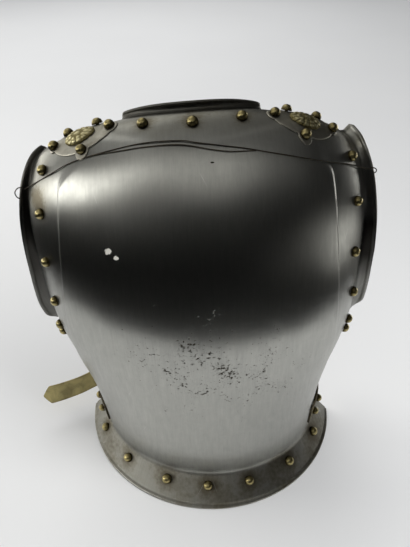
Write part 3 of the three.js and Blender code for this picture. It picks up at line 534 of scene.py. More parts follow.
def half_net(net, side):
    """Adds one half of the shell, from its spine to the armhole rim, and its half of the collar."""
    neck_row = SKIRT_ROWS + BACK_ROWS
    count = columns.shape[1]
    angle = side * columns
    v, rows_down = row_v[:, None] + 0 * angle, down[:, None] + 0 * angle
    place = frame_at(v, angle)
    across, up = sheet_measures(v, angle, rows_down)
    arm_gap, neck_gap = edge_distances(v, angle)
    calm = smooth_step(arm_gap / CALM["arm"]) * smooth_step(neck_gap / CALM["neck"])
    calm = calm * smooth_step(v / CALM["fold_v"])
    face = place["point"] + place["normal"] * (hammering(across, up) * calm)[..., None]
    face = np.where((rows_down > 0)[..., None], skirt_point(rows_down, angle), face)
    arm, arm_bead = arm_flange(side)
    collar, neck_bead = neck_flange(side)
    # How dark the painted shade in each armhole flange's hollow is, row by row.
    black = np.interp(row_v, *zip(*FLANGE_PAINTED_SHADE[side])) * (down == 0)
    hollow = smooth_step((np.arange(FLANGE_COLUMNS) + 0.5) / HOLLOW_COLUMNS)
    for j in range(len(row_v)):
        foot = SKIRT_BEAD if j == 0 else PLAIN_RIM
        for i in range(count):
            key = key_of(side, j, i, neck_row)
            net.put(key, face[j, i], foot, (across[j, i], up[j, i]))
        for i in range(FLANGE_COLUMNS):
            beyond = side * (i + 1) * ARM_COLUMN_ON_SHEET
            sheet = (across[j, -1] + beyond, up[j, -1])
            net.put((side, j, count + i), arm[j, i], arm_bead[j], sheet, black[j] * hollow[i])
            if j >= neck_row:
                key = key_of(side, j, -1 - i, neck_row)
                sheet = (across[j, 0], up[j, 0] + (i + 1) * COLLAR_COLUMN_ON_SHEET)
                # The collar's hollow gets a painted shade as well.
                soot = COLLAR_PAINTED_SHADE * hollow[i]
                net.put(key, collar[j - neck_row, i], neck_bead[j - neck_row], sheet, soot)
    for j in range(len(row_v) - 1):
        first = -FLANGE_COLUMNS if j >= neck_row else 0
        for i in range(first, count + FLANGE_COLUMNS - 1):
            corners = ((j, i), (j, i + 1), (j + 1, i + 1), (j + 1, i))
            square = [net.number[key_of(side, row, column, neck_row)] for row, column in corners]
            net.squares.append(square[::-1] if side < 0 else square)


net = Net()
half_net(net, -1)
half_net(net, 1)
print("outer face:", len(net.points), "points,", len(net.squares), "squares")


# %% Giving the sheet its thickness
def face_normals(points, squares):
    """Point normals, each the sum of its squares' diagonals crossed."""
    normals = np.zeros_like(points)
    corner = points[squares]
    crossed = np.cross(corner[:, 2] - corner[:, 0], corner[:, 3] - corner[:, 1])
    for k in range(4):
        np.add.at(normals, squares[:, k], crossed)
    return unit(normals)


def rim_walk(squares):
    """The open edge of a net as one closed walk, in the direction of its squares."""
    once = {}
    for square in squares.tolist():
        for a, b in zip(square, square[1:] + square[:1]):
            if a != b and once.pop((b, a), None) is None:
                once[(a, b)] = True
    following = {a: b for a, b in once}
    walk = [next(iter(following))]
    while following[walk[-1]] != walk[0]:
        walk.append(following[walk[-1]])
    return walk


def thicken(points, beads, squares, thickness, steps):
    """The closed body: outer net, inner net and a bead round the rim."""
    normals = face_normals(points, squares)
    count = len(points)
    walk = rim_walk(squares)
    rim = points[walk]
    off = unit(np.cross(np.roll(rim, -1, 0) - np.roll(rim, 1, 0), normals[walk]))
    radius = beads[walk]
    half = thickness / 2
    centre = rim - normals[walk] * half + off * np.sqrt(radius ** 2 - half ** 2)[:, None]
    half_turn = np.pi - np.arcsin(half / radius)
    rings = []
    for s in range(1, steps + 1):
        turn = (half_turn * (1 - 2 * s / (steps + 1)))[:, None]
        rings.append(centre + (off * np.cos(turn) + normals[walk] * np.sin(turn)) * radius[:, None])
    body = np.concatenate((points, points - normals * thickness, np.stack(rings, 1).reshape(-1, 3)))
    faces = squares.tolist() + (squares[:, ::-1] + count).tolist()
    for n, a in enumerate(walk):
        b = walk[(n + 1) % len(walk)]
        ring_a = [a, *range(2 * count + n * steps, 2 * count + (n + 1) * steps), a + count]
        m = (n + 1) % len(walk)
        ring_b = [b, *range(2 * count + m * steps, 2 * count + (m + 1) * steps), b + count]
        faces += [[ring_b[s], ring_a[s], ring_a[s + 1], ring_b[s + 1]] for s in range(steps + 1)]
    return body, faces, walk


outer = np.array(net.points)
beads = np.array(net.beads)
squares = np.array(net.squares)
body, faces, walk = thicken(outer, beads, squares, SHEET, BEAD_STEPS)
faces = [list(dict.fromkeys(face)) for face in faces]
faces = [face for face in faces if len(face) > 2]
foot = body[:, 2].min() + FOOT_TRIM
body[:, 2] = np.maximum(body[:, 2], foot)
print("closed body:", len(body), "points; rim walk", len(walk), "; stands at", round(foot, 3), "mm")

# %% [markdown]
# ## Finish: forged and polished steel
#
# The outside was ground and polished by hand with strokes up and down the back, so the surface is
# a mirror combed with fine upright lines. Light from a window is smeared sideways by them and
# stays sharper up and down. Three things make that: noise stretched along the strokes for bump and
# roughness, an anisotropic gloss that spreads across them, and slow patches where the polish
# has dulled. The pattern reads the sheet's own flat map in metres, so it follows the curves.
#
# A pattern's scale is given as a size in millimetres. In a Map Range node the sockets 1 to 4 are
# the limits before and after, in a Math node 0 to 2 are its values, and in a Mix node for
# colours 0 is the share and 6 and 7 are the two colours.

# %% An empty material
def new_material(name):
    """A material with an empty Principled shader joined to its output."""
    made = bpy.data.materials.new(name)
    made.use_nodes = True
    tree = made.node_tree
    tree.nodes.clear()
    shader = add(tree, "ShaderNodeBsdfPrincipled")
    add(tree, "ShaderNodeOutputMaterial", {"Surface": shader})
    return made, tree, shader


# %% Marks on the polish
def scratches(tree, flat, turn, seldom):
    """Thin marks in one direction, kept to a few places.

    Real ones are a tenth of a millimetre wide. They are drawn 1.4 mm wide, or they would not show.
    """
    turned = add(tree, MAPPING, {0: flat, "Rotation": (0, 0, turn)})
    drawn = add(tree, MAPPING, {0: turned, "Scale": (1, 0.02, 1)})
    lines = add(tree, NOISE, {0: drawn, "Scale": per_metre(1.4), "Detail": 1.0})
    where = add(tree, NOISE, {0: turned, "Scale": per_metre(42), "Detail": 1.0})
    marks = add(tree, RANGE, {0: lines, 1: 0.69, 2: 0.77})
    chosen = add(tree, RANGE, {0: where, 1: seldom, 2: seldom + 0.08})
    return add(tree, MATH, {0: marks, 1: chosen}, operation="MULTIPLY")


def rust_pits(tree, flat):
    """Pits up to three millimetres wide, crowded in the small of the back and absent elsewhere.

    Rust eats a pit where the steel stayed damp, and each pit is a dark, dull hole in the gloss.
    """
    lying = add(tree, MAPPING, {0: flat, "Scale": (0.75, 1, 1)})
    ragged = add(tree, NOISE, {0: lying, "Scale": per_metre(3.0), "Detail": 3.0, "Roughness": 0.7})
    crowd = add(tree, NOISE, {0: flat, "Scale": per_metre(27), "Detail": 3.0})
    zone = add(tree, "ShaderNodeAttribute", attribute_name="pitted").outputs["Fac"]
    level = add(tree, MATH, {0: crowd, 1: 0.60, 2: ragged}, operation="MULTIPLY_ADD")
    level = add(tree, MATH, {0: zone, 1: 0.24, 2: level}, operation="MULTIPLY_ADD")
    return add(tree, RANGE, {0: level, 1: 1.11, 2: 1.20})


def small_spots(tree, flat, spots):
    """Ragged round marks at a few places of the sheet; each row is v, angle and radius in mm."""
    ragged = add(tree, NOISE, {0: flat, "Scale": per_metre(3), "Detail": 3.0})
    most = None
    for v, angle, radius in spots:
        across, up = sheet_measures(v, angle, 0)
        local = add(tree, MAPPING, {0: flat, "Location": (across / 1000, up / 1000, 0),
                                    "Scale": (radius / 1000, 0.7 * radius / 1000, 1)},
                    vector_type="TEXTURE")
        away = add(tree, "ShaderNodeVectorMath", {0: local}, operation="LENGTH").outputs["Value"]
        level = add(tree, MATH, {0: ragged, 1: 1.6, 2: away}, operation="MULTIPLY_ADD")
        spot = add(tree, RANGE, {0: level, 1: 1.85, 2: 1.6})
        most = spot if most is None else add(tree, MATH, {0: most, 1: spot}, operation="MAXIMUM")
    return most


# %% Polished steel outside
PAINT_FLECKS = ((0.571, -26.2, 4.0), (0.558, -23.7, 2.7))             # v, angle, radius in mm
# A dent is drawn only as a dark spot: a painted shade, with no dent in the mesh.
DENT_PAINTED_SHADE = ((0.722, 3.8, 1.5),)
STROKE_MM, PASS_MM, SCUFF_MM, CLOUD_MM, SPECK_MM = 0.9, 5, 11, 55, 4


def polished_steel():
    """Forged steel, ground and brushed upright by hand.

    To the eye that is a grey metal mirror whose lights are smeared sideways. The grit's own lines
    are 0.1 to 0.3 mm apart, too fine to show, so they are drawn 0.9 mm apart. Passes of the hand
    5 mm wide and scuffs of 11 mm lie over them. Steel browns slowly in clouds of 55 mm with 4 mm
    specks. Its colour is that of polished steel, and its roughness is that of a fine brushing.
    """
    made, tree, shader = new_material("forged steel, ground and brushed by hand")
    shader.inputs["Metallic"].default_value = 1.0
    flat = add(tree, "ShaderNodeUVMap", uv_map="sheet")
    tarnish = add(tree, "ShaderNodeAttribute", attribute_name="tarnish").outputs["Fac"]
    dulled = add(tree, "ShaderNodeAttribute", attribute_name="dulled").outputs["Fac"]
    # A painted shade for the hollows of the flanges and the collar.
    sooted = add(tree, "ShaderNodeAttribute", attribute_name="sooted").outputs["Fac"]
    strokes = add(tree, MAPPING, {0: flat, "Scale": (1, 0.04, 1)})
    passes = add(tree, MAPPING, {0: flat, "Scale": (1, 0.16, 1)})
    fine = add(tree, NOISE, {0: strokes, "Scale": per_metre(STROKE_MM), "Detail": 2.0,
                             "Roughness": 0.6})
    broad = add(tree, NOISE, {0: passes, "Scale": per_metre(PASS_MM), "Detail": 4.0,
                              "Roughness": 0.65})
    clouds = add(tree, NOISE, {0: flat, "Scale": per_metre(CLOUD_MM), "Detail": 5.0,
                               "Roughness": 0.6, "Distortion": 0.6})
    specks = add(tree, NOISE, {0: flat, "Scale": per_metre(SPECK_MM), "Detail": 3.0})
    scuffs = add(tree, NOISE, {0: flat, "Scale": per_metre(SCUFF_MM), "Detail": 5.0,
                               "Roughness": 0.7, "Distortion": 0.8})
    pits = rust_pits(tree, flat)
    marks = add(tree, MATH, {0: scratches(tree, flat, 0.5, 0.60),
                             1: scratches(tree, flat, -0.35, 0.64)}, operation="MAXIMUM")

    drawn = add(tree, MATH, {0: fine, 1: 0.8, 2: broad}, operation="MULTIPLY_ADD")
    drawn = add(tree, MATH, {0: scuffs, 1: 0.8, 2: drawn}, operation="MULTIPLY_ADD")
    drawn = add(tree, RANGE, {0: drawn, 1: 1.0, 2: 1.6})
    dull = add(tree, MATH, {0: clouds, 1: 0.55, 2: tarnish}, operation="MULTIPLY_ADD")
    worn = add(tree, RANGE, {0: dull, 1: 0.36, 2: 1.0})
    spotted = add(tree, MATH, {0: specks, 1: 0.5, 2: worn}, operation="MULTIPLY_ADD")
    spots = add(tree, RANGE, {0: spotted, 1: 0.62, 2: 0.9, 4: 0.7})
    colour = add(tree, MIX, {0: drawn, 6: linear("a6a6a1"), 7: linear("b2b2ac")},
                 data_type="RGBA").outputs[2]
    faint = add(tree, MATH, {0: marks, 1: 0.45}, operation="MULTIPLY")
    # 2c2823 is a painted shade that stands in for a dent the mesh does not have.
    # 34322f is a painted shade that darkens the hollows of the flanges and the collar.
    for share, code in ((worn, "857f6c"), (spots, "6f6755"), (pits, "4e4940"), (faint, "dededb"),
                        (sooted, "34322f"), (small_spots(tree, flat, DENT_PAINTED_SHADE), "2c2823")):
        colour = add(tree, MIX, {0: share, 6: colour, 7: linear(code)}, data_type="RGBA").outputs[2]
    tree.links.new(colour, shader.inputs["Base Color"])

    rough = add(tree, RANGE, {0: drawn, 3: 0.36, 4: 0.29})
    for share, more in ((worn, 0.09), (pits, 0.25), (dulled, 0.30), (sooted, 0.12)):
        rough = add(tree, MATH, {0: share, 1: more, 2: rough}, operation="MULTIPLY_ADD")
    tree.links.new(rough.outputs[0], shader.inputs["Roughness"])
    shader.inputs["Anisotropic"].default_value = 0.7
    along = add(tree, "ShaderNodeTangent", direction_type="UV_MAP", uv_map="sheet")
    tree.links.new(along.outputs[0], shader.inputs["Tangent"])

    combed = add(tree, MATH, {0: broad, 1: 1.2, 2: fine}, operation="MULTIPLY_ADD")
    brushed = add(tree, BUMP, {"Height": combed, "Distance": 0.00001, "Strength": 0.5})
    sunk = add(tree, BUMP, {"Height": pits, "Distance": -0.0003, "Strength": 0.6, "Normal": brushed})
    tree.links.new(sunk.outputs[0], shader.inputs["Normal"])

    paint = add(tree, "ShaderNodeBsdfPrincipled", {"Base Color": linear("dcdad0"),
                                                   "Roughness": 0.7})
    flecked = add(tree, "ShaderNodeMixShader", {0: small_spots(tree, flat, PAINT_FLECKS),
                                                1: shader, 2: paint})
    surface = next(node for node in tree.nodes if node.type == "OUTPUT_MATERIAL")
    tree.links.new(flecked.outputs[0], surface.inputs["Surface"])
    return made


# %% Blacked steel inside
def blacked_steel():
    """Steel as it came from the hammer, blacked against rust: dark, dented and half dull.

    Each hammer blow left a shallow dish about 17 mm across, and damp has browned the black in
    stains of 45 mm. The forging scale has a grain under a millimetre, drawn here at 2.4 mm.
    """
    made, tree, shader = new_material("forged steel, blacked inside")
    shader.inputs["Metallic"].default_value = 1.0
    place = add(tree, "ShaderNodeTexCoord").outputs["Object"]
    blows = add(tree, CELLS, {0: place, "Scale": per_metre(17)}, feature="SMOOTH_F1")
    stain = add(tree, NOISE, {0: place, "Scale": per_metre(45), "Detail": 5.0, "Distortion": 0.5})
    grain = add(tree, NOISE, {0: place, "Scale": per_metre(2.4), "Detail": 3.0})
    bare = add(tree, RANGE, {0: stain, 1: 0.35, 2: 0.68})
    colour = add(tree, MIX, {0: bare, 6: linear("3a3733"), 7: linear("6a5f50")}, data_type="RGBA")
    rough = add(tree, RANGE, {0: stain, 1: 0.3, 2: 0.7, 3: 0.42, 4: 0.66})
    dented = add(tree, BUMP, {"Height": blows, "Distance": 0.0012, "Strength": 0.5})
    normal = add(tree, BUMP, {"Height": grain, "Distance": 0.0001, "Strength": 0.5,
                              "Normal": dented})
    tree.links.new(colour.outputs[2], shader.inputs["Base Color"])
    tree.links.new(rough.outputs[0], shader.inputs["Roughness"])
    tree.links.new(normal.outputs[0], shader.inputs["Normal"])
    return made


STEEL = polished_steel()
BLACKED = blacked_steel()
print("finishes:", STEEL.name, "and", BLACKED.name)

# %% [markdown]
# ## The plate
#
# The closed body becomes a mesh. Each of its points carries its place on the flat sheet, as a UV
# map for the finish, and four numbers from 0 to 1. One says how far tarnish has crept in: on the
# skirt and the shoulders, and in a ring round every rivet, where water stood under the head. The
# others say where the steel is pitted and dulled, and where a painted shade darkens the hollows of
# the flanges and the collar.

# %% Rivet places
NECK_RIVETS = ((0.853, -13.5), (0.836, 0), (0.853, 13.5))            # v, angle
ARM_RIVETS = (                                                       # v, left and right angle
    (0.792, 54.6, 58.6), (0.666, 57, 60.4), (0.549, 60.4, 62.6),
    (0.447, 61.4, 68), (0.364, 68, 71.2), (0.333, 71.6, 72),
)
SKIRT_RIVET_ANGLES = (-66.3, -42.9, -19.8, 0, 19.8, 42.9, 66.3)
SKIRT_RIVET_DOWN = 0.42
SKIRT_SLOT = {"angle": 83, "down": 0.5, "half_width": 1.4, "half_length": 3.4}


def places(frames, lift=0.0):
    """Points and normals of some frames, lifted off the sheet."""
    return frames["point"] + frames["normal"] * lift, frames["normal"]


neck_places = places(frame_at(*np.array(NECK_RIVETS).T))
skirt_places = places(skirt_frame(SKIRT_RIVET_DOWN, np.array(SKIRT_RIVET_ANGLES)))
arm_table = np.array(ARM_RIVETS)
arm_places = {side: places(frame_at(arm_table[:, 0], side * arm_table[:, k]))
              for side, k in ((-1, 1), (1, 2))}
plate_rivets = np.concatenate([neck_places[0], skirt_places[0], arm_places[-1][0], arm_places[1][0]])
print("rivets through the plain plate:", len(plate_rivets))


# %% Where the steel has browned and pitted
RIVET_RING = {"brown": 0.28, "reach": 10}
ARM_STAIN = {"at": frame_at(0.705, -60)["point"], "brown": 0.55, "reach": 20}
SKIRT_BROWN, SHOULDER_BROWN = 0.34, 0.30
SHOULDER_FROM, SHOULDER_OVER = 330, 90            # millimetres up the flat sheet
PITTED = {"middle": (8, 152), "reach": (130, 72)}


def tarnish_of(points, sheet):
    """From 0, bright, to 1, brown, for each point of the outer face."""
    gap = np.linalg.norm(points[:, None] - plate_rivets[None], axis=-1).min(1)
    ring = RIVET_RING["brown"] * np.exp(-(gap / RIVET_RING["reach"]) ** 2)
    skirt = SKIRT_BROWN * (1 - smooth_step((sheet[:, 1] + 6) / 12))
    shoulder = SHOULDER_BROWN * smooth_step((sheet[:, 1] - SHOULDER_FROM) / SHOULDER_OVER)
    away = np.linalg.norm(points - ARM_STAIN["at"], axis=-1)
    stain = ARM_STAIN["brown"] * np.exp(-(away / ARM_STAIN["reach"]) ** 2)
    return np.clip(ring + skirt + shoulder + stain, 0, 1)


def pitted_zone(sheet):
    """1 in the small of the back, where sweat and damp cloth lay on the steel."""
    away = (sheet - PITTED["middle"]) / PITTED["reach"]
    return np.exp(-(away ** 2).sum(-1))


print("tarnish at the middle of the back:",
      round(float(tarnish_of(frame_at(0.4, 0)["point"][None], np.array([[0.0, 188.0]]))[0]), 2))


# %% Plate mesh with its flat map and its four numbers
def store_number(mesh, name, values):
    """Keeps one number for each point, for a finish to read."""
    mesh.attributes.new(name, "FLOAT", "POINT").data.foreach_set("value", np.asarray(values, float))


def store_map(mesh, per_point):
    """Writes a UV map called sheet, in metres, from a place on the flat sheet for every point."""
    layer = mesh.uv_layers.new(name="sheet")
    corners = np.empty(len(mesh.loops), int)
    mesh.loops.foreach_get("vertex_index", corners)
    layer.uv.foreach_set("vector", (np.asarray(per_point)[corners] / 1000).astype(np.float32).ravel())


plate = new_object("steel_back_plate", body, faces, STEEL)
plate.data.materials.append(BLACKED)
sheet = np.array(net.sheet)
whole_sheet = np.concatenate((sheet, sheet, np.repeat(sheet[walk], BEAD_STEPS, axis=0)))
store_map(plate.data, whole_sheet)
outer_tarnish = tarnish_of(outer, sheet)
store_number(plate.data, "tarnish",
             np.concatenate((outer_tarnish, outer_tarnish, np.repeat(outer_tarnish[walk], BEAD_STEPS))))
outer_pits = pitted_zone(sheet)
store_number(plate.data, "pitted",
             np.concatenate((outer_pits, 0 * outer_pits, np.repeat(outer_pits[walk], BEAD_STEPS))))
# The last share is how much of the painted shade in the flange and collar hollows reaches their rim
# beads.
FOLD_DULL_OVER, SKIRT_DULL, BEAD_PAINTED_SHADE = 30, 0.7, 0.85
near_fold = np.where(sheet[:, 1] > 0, 1 - smooth_step((sheet[:, 1] - 4) / FOLD_DULL_OVER), SKIRT_DULL)
store_number(plate.data, "dulled",
             np.concatenate((near_fold, near_fold, np.zeros(len(walk) * BEAD_STEPS))))
# Painted shade in the hollows of the flanges and the collar, stored for the finish.
soot = np.array(net.soot)
store_number(plate.data, "sooted",
             np.concatenate((soot, soot, BEAD_PAINTED_SHADE * np.repeat(soot[walk], BEAD_STEPS))))
inside = np.zeros(len(faces), int)
inside[len(squares):2 * len(squares)] = 1
plate.data.polygons.foreach_set("material_index", inside)
plate.data.update()
print("plate:", len(plate.data.vertices), "points,", len(plate.data.polygons), "faces")


# %% Two slots in the skirt for the belt's lacing
def through_tool(ring, normal, reach):
    """A closed bar through a sheet, from a ring of points round the place it goes through."""
    n = len(ring)
    walls = [[k, (k + 1) % n, n + (k + 1) % n, n + k] for k in range(n)]
    caps = [list(range(n))[::-1], list(range(n, 2 * n))]
    ends = np.concatenate([ring + normal * out for out in (-reach, reach)])
    return new_object("through_tool", ends, walls + caps)


def slot_tool(side):
    """A long cylinder through the skirt that a Boolean modifier takes away."""
    place = skirt_frame(SKIRT_SLOT["down"], side * SKIRT_SLOT["angle"])
    turn = np.linspace(0, 2 * np.pi, 24, endpoint=False)[:, None]
    wide = np.cos(turn) * SKIRT_SLOT["half_width"] * place["across"]
    long = np.sin(turn) * SKIRT_SLOT["half_length"] * place["up"]
    return through_tool(place["point"] + wide + long, place["normal"], 6)


def carve(piece, tools):
    """Takes the tools away from a piece and leaves a plain mesh."""
    for tool in tools:
        cut = piece.modifiers.new("slot", "BOOLEAN")
        cut.object, cut.solver, cut.operation = tool, "MANIFOLD", "DIFFERENCE"
    graph = bpy.context.evaluated_depsgraph_get()
    carved = bpy.data.meshes.new_from_object(piece.evaluated_get(graph), depsgraph=graph)
    piece.modifiers.clear()
    piece.data = carved
    for tool in tools:
        bpy.data.objects.remove(tool)
    return piece


carve(plate, [slot_tool(-1), slot_tool(1)])
finish_piece(plate, "plate_steel", "back_plate", sharp=50)


# %% [markdown]
# ## Rivets
#
# Domed brass rivets hold the lining inside a cuirass. Each head was struck with a hollow punch and
# each tail was spread over inside. They repeat, so a Geometry Nodes tree makes them: a cone is
# blown into a dome, a shank and a tail are added, and one copy goes on every point of a small
# mesh that carries the direction to face. A seed gives each copy its own turn and size. The brass
# of a struck rivet is rubbed bright on its crown and stays brown and greenish at its foot.

# %% Brass finish
def aged_brass(name, bright, dark, gloss):
    """Brass, handled for a century: bright where fingers reach and brown in the hollows.

    The brown film lies in patches of 5 mm, which break up the lights on a head. Tool marks are
    finer than the 0.7 mm grain drawn here, which is as coarse as it takes for them to show.
    """
    made, tree, shader = new_material(name)
    shader.inputs["Metallic"].default_value = 1.0
    place = add(tree, "ShaderNodeTexCoord").outputs["Object"]
    relief = add(tree, "ShaderNodeAttribute", attribute_name="relief").outputs["Fac"]
    film = add(tree, NOISE, {0: place, "Scale": per_metre(5), "Detail": 4.0, "Distortion": 0.4})
    grain = add(tree, NOISE, {0: place, "Scale": per_metre(0.7), "Detail": 2.0})
    hollow = add(tree, MATH, {0: relief, 1: -1.0, 2: 1.0}, operation="MULTIPLY_ADD")
    grimy = add(tree, MATH, {0: film, 1: 0.8, 2: hollow}, operation="MULTIPLY_ADD")
    grime = add(tree, RANGE, {0: grimy, 1: 0.38, 2: 1.1})
    colour = add(tree, MIX, {0: grime, 6: linear(bright), 7: linear(dark)}, data_type="RGBA")
    rough = add(tree, MATH, {0: grime, 1: 0.22, 2: gloss}, operation="MULTIPLY_ADD")
    uneven = add(tree, BUMP, {"Height": film, "Distance": 0.0001, "Strength": 0.6})
    normal = add(tree, BUMP, {"Height": grain, "Distance": 0.00004, "Strength": 0.6,
                              "Normal": uneven})
    tree.links.new(colour.outputs[2], shader.inputs["Base Color"])
    tree.links.new(rough.outputs[0], shader.inputs["Roughness"])
    tree.links.new(normal.outputs[0], shader.inputs["Normal"])
    return made


RIVET_BRASS = aged_brass("struck brass, browned with age", "b0a373", "443c25", 0.29)
print("finish:", RIVET_BRASS.name)


# %% Geometry Nodes: one rivet on every point
def open_tree(name, inputs, output):
    """A Geometry Nodes tree with named inputs and one geometry output."""
    tree = bpy.data.node_groups.new(name, "GeometryNodeTree")
    for label, kind, value in inputs:
        socket = tree.interface.new_socket(name=label, in_out="INPUT", socket_type="NodeSocket" + kind)
        if value is not None:
            socket.default_value = value
    tree.interface.new_socket(name=output, in_out="OUTPUT", socket_type="NodeSocketGeometry")
    return tree, add(tree, "NodeGroupInput").outputs


def dome_part(tree, radius, height, seat):
    """A unit cone whose points move on to a round dome that sits a little off the sheet.

    A point's height on the cone becomes its turn on the dome, from 0 at the rim to a quarter turn.
    """
    cone = add(tree, "GeometryNodeMeshCone", {"Vertices": 28, "Side Segments": 9, "Radius Top": 0.0,
                                              "Radius Bottom": 1.0, "Depth": 1.0})
    at = add(tree, "ShaderNodeSeparateXYZ", {0: add(tree, "GeometryNodeInputPosition")}).outputs
    turn = add(tree, MATH, {0: at["Z"], 1: math.pi / 2}, operation="MULTIPLY")
    slim = add(tree, MATH, {0: 1.0, 1: at["Z"]}, operation="SUBTRACT")
    slim = add(tree, MATH, {0: slim, 1: 0.001}, operation="MAXIMUM")
    round_ = add(tree, MATH, {0: turn}, operation="COSINE")
    girth = add(tree, MATH, {0: round_, 1: 0.85}, operation="POWER")
    spread = add(tree, MATH, {0: girth, 1: slim}, operation="DIVIDE")
    spread = add(tree, MATH, {0: spread, 1: radius}, operation="MULTIPLY")
    lifted = add(tree, MATH, {0: turn}, operation="SINE")
    lifted = add(tree, MATH, {0: lifted, 1: height, 2: seat}, operation="MULTIPLY_ADD")
    x = add(tree, MATH, {0: at["X"], 1: spread}, operation="MULTIPLY")
    y = add(tree, MATH, {0: at["Y"], 1: spread}, operation="MULTIPLY")
    place = add(tree, XYZ, {"X": x, "Y": y, "Z": lifted})
    return add(tree, "GeometryNodeSetPosition", {"Geometry": cone, "Position": place})


def turned_part(tree, low, high, radius_low, radius_high):
    """A plain turned length between two heights, as a shank or a tail is."""
    tall = add(tree, MATH, {0: high, 1: low}, operation="SUBTRACT")
    cone = add(tree, "GeometryNodeMeshCone", {"Vertices": 16, "Radius Top": radius_high,
                                              "Radius Bottom": radius_low, "Depth": tall})
    foot = add(tree, XYZ, {"Z": low})
    return add(tree, "GeometryNodeTransform", {"Geometry": cone, "Translation": foot})


def one_rivet(tree, given):
    """Head, shank and spread tail of one rivet that stands on the origin."""
    seat, tail_gap, tail = 0.0003, 0.0012, 0.0014
    inner = add(tree, MATH, {0: given["Packing"], 1: -1.0, 2: -tail_gap}, operation="MULTIPLY_ADD")
    inner = add(tree, MATH, {0: inner, 1: given["Sheet"]}, operation="SUBTRACT")
    tail_end = add(tree, MATH, {0: inner, 1: tail}, operation="SUBTRACT")
    head = dome_part(tree, given["Head radius"], given["Head height"], seat)
    shank = turned_part(tree, inner, seat + 0.0002, given["Shank radius"], given["Shank radius"])
    spread = turned_part(tree, tail_end, inner, given["Tail radius"], given["Shank radius"])
    rivet = add(tree, "GeometryNodeJoinGeometry")
    for part in (spread, shank, head):
        tree.links.new(part.outputs[0], rivet.inputs[0])
    return rivet


def rivet_tree():
    """One rivet on every point, turned to face where the point says; sizes are in metres."""
    tree, given = open_tree("domed rivets", (
        ("Places", "Geometry", None), ("Head radius", "Float", 0.0058),
        ("Head height", "Float", 0.0062), ("Shank radius", "Float", 0.0018),
        ("Packing", "Float", 0.0), ("Sheet", "Float", 0.002), ("Tail radius", "Float", 0.0036),
        ("Seed", "Int", 3), ("Finish", "Material", None)), "Rivets")
    rivet = one_rivet(tree, given)
    facing = add(tree, "GeometryNodeInputNamedAttribute", {"Name": "facing"},
                 data_type="FLOAT_VECTOR")
    upright = add(tree, "FunctionNodeAlignRotationToVector", {"Vector": facing}, axis="Z")
    spin = add(tree, "FunctionNodeRandomValue", {3: 6.283, "Seed": given["Seed"]},
               data_type="FLOAT")
    roll = add(tree, "FunctionNodeAxisAngleToRotation", {"Angle": spin})
    turn = add(tree, "FunctionNodeRotateRotation", {0: upright, 1: roll}, rotation_space="LOCAL")
    size = add(tree, "FunctionNodeRandomValue", {2: 0.95, 3: 1.04, "Seed": given["Seed"]},
               data_type="FLOAT")
    scale = add(tree, XYZ, {"X": size, "Y": size, "Z": 1.0})
    copies = add(tree, "GeometryNodeInstanceOnPoints", {
        "Points": given["Places"], "Instance": rivet, "Rotation": turn, "Scale": scale})
    real = add(tree, "GeometryNodeRealizeInstances", {0: copies})
    done = add(tree, "GeometryNodeSetMaterial", {"Geometry": real, "Material": given["Finish"]})
    add(tree, "NodeGroupOutput", {0: done})
    return tree


RIVETS = rivet_tree()
print("rivet tree:", len(RIVETS.nodes), "nodes")


# %% Setting a row of rivets
HEAD_MM, PATCH_HEAD_MM, BELT_HEAD_MM = 5.8, 5.6, 5.0
CROWN_MM = 5.0                                    # above the sheet; up there the brass is rubbed bright


def run_tree(tree, carrier, inputs):
    """Runs a tree on an object, keeps the result as its plain mesh and drops the modifier."""
    modifier = carrier.modifiers.new(tree.name, "NODES")
    modifier.node_group = tree
    for item in tree.interface.items_tree:
        if item.item_type == "SOCKET" and item.in_out == "INPUT" and item.name in inputs:
            modifier[item.identifier] = inputs[item.name]
    graph = bpy.context.evaluated_depsgraph_get()
    result = bpy.data.meshes.new_from_object(carrier.evaluated_get(graph), depsgraph=graph)
    carrier.modifiers.clear()
    carrier.data = result
    return carrier


def rivet_row(name, spots, nodes, packing_mm=0.0, seed=3, head_mm=HEAD_MM):
    """Domed rivets on some points and normals, standing for the frame's rivets."""
    points, normals = spots
    carrier = new_object(name, points, [])
    facing = carrier.data.attributes.new("facing", "FLOAT_VECTOR", "POINT")
    facing.data.foreach_set("vector", np.asarray(normals, float).ravel())
    inputs = {"Packing": packing_mm / 1000, "Head radius": head_mm / 1000, "Seed": seed,
              "Finish": RIVET_BRASS}
    run_tree(RIVETS, carrier, inputs)
    count = len(carrier.data.vertices) // len(points)
    heights = np.array([v.co[:] for v in carrier.data.vertices]).reshape(len(points), count, 3)
    seats = (np.asarray(points) + SHIFT_MM) / 1000
    above = ((heights - seats[:, None]) * np.asarray(normals)[:, None]).sum(-1) * 1000
    store_number(carrier.data, "relief", np.clip(above / CROWN_MM, 0, 1).ravel())
    return finish_piece(carrier, "brass", *nodes, sharp=50)


def numbered(stem, count):
    """Names with 1, 2, 3 and so on after them."""
    return [f"{stem}_{n + 1}" for n in range(count)]


SIDES = {-1: "left", 1: "right"}
rivet_row("neck_rivets", neck_places, numbered("rivet_neck", 3), seed=5)
rivet_row("skirt_rivets", skirt_places, numbered("rivet_skirt", 7), seed=8)
for side, name in SIDES.items():
    rivet_row(f"arm_rivets_{name}", arm_places[side], numbered(f"rivet_arm_{name}", 6),
              seed=11 + side)

# %% [markdown]
# ## Shoulder patches
#
# A thin scalloped plate sits on each shoulder under the rosette, where the shoulder scales of the
# breast side were buckled. Its outline is a lobe round each of five rivets, joined by an oval. The
# outline is a rule too: the distance from the middle, in any direction, is the larger of the
# oval's reach and the lobes' reach. Rings of points from the middle outwards make the plate, and
# the rim is rounded down so that it catches a line of light.

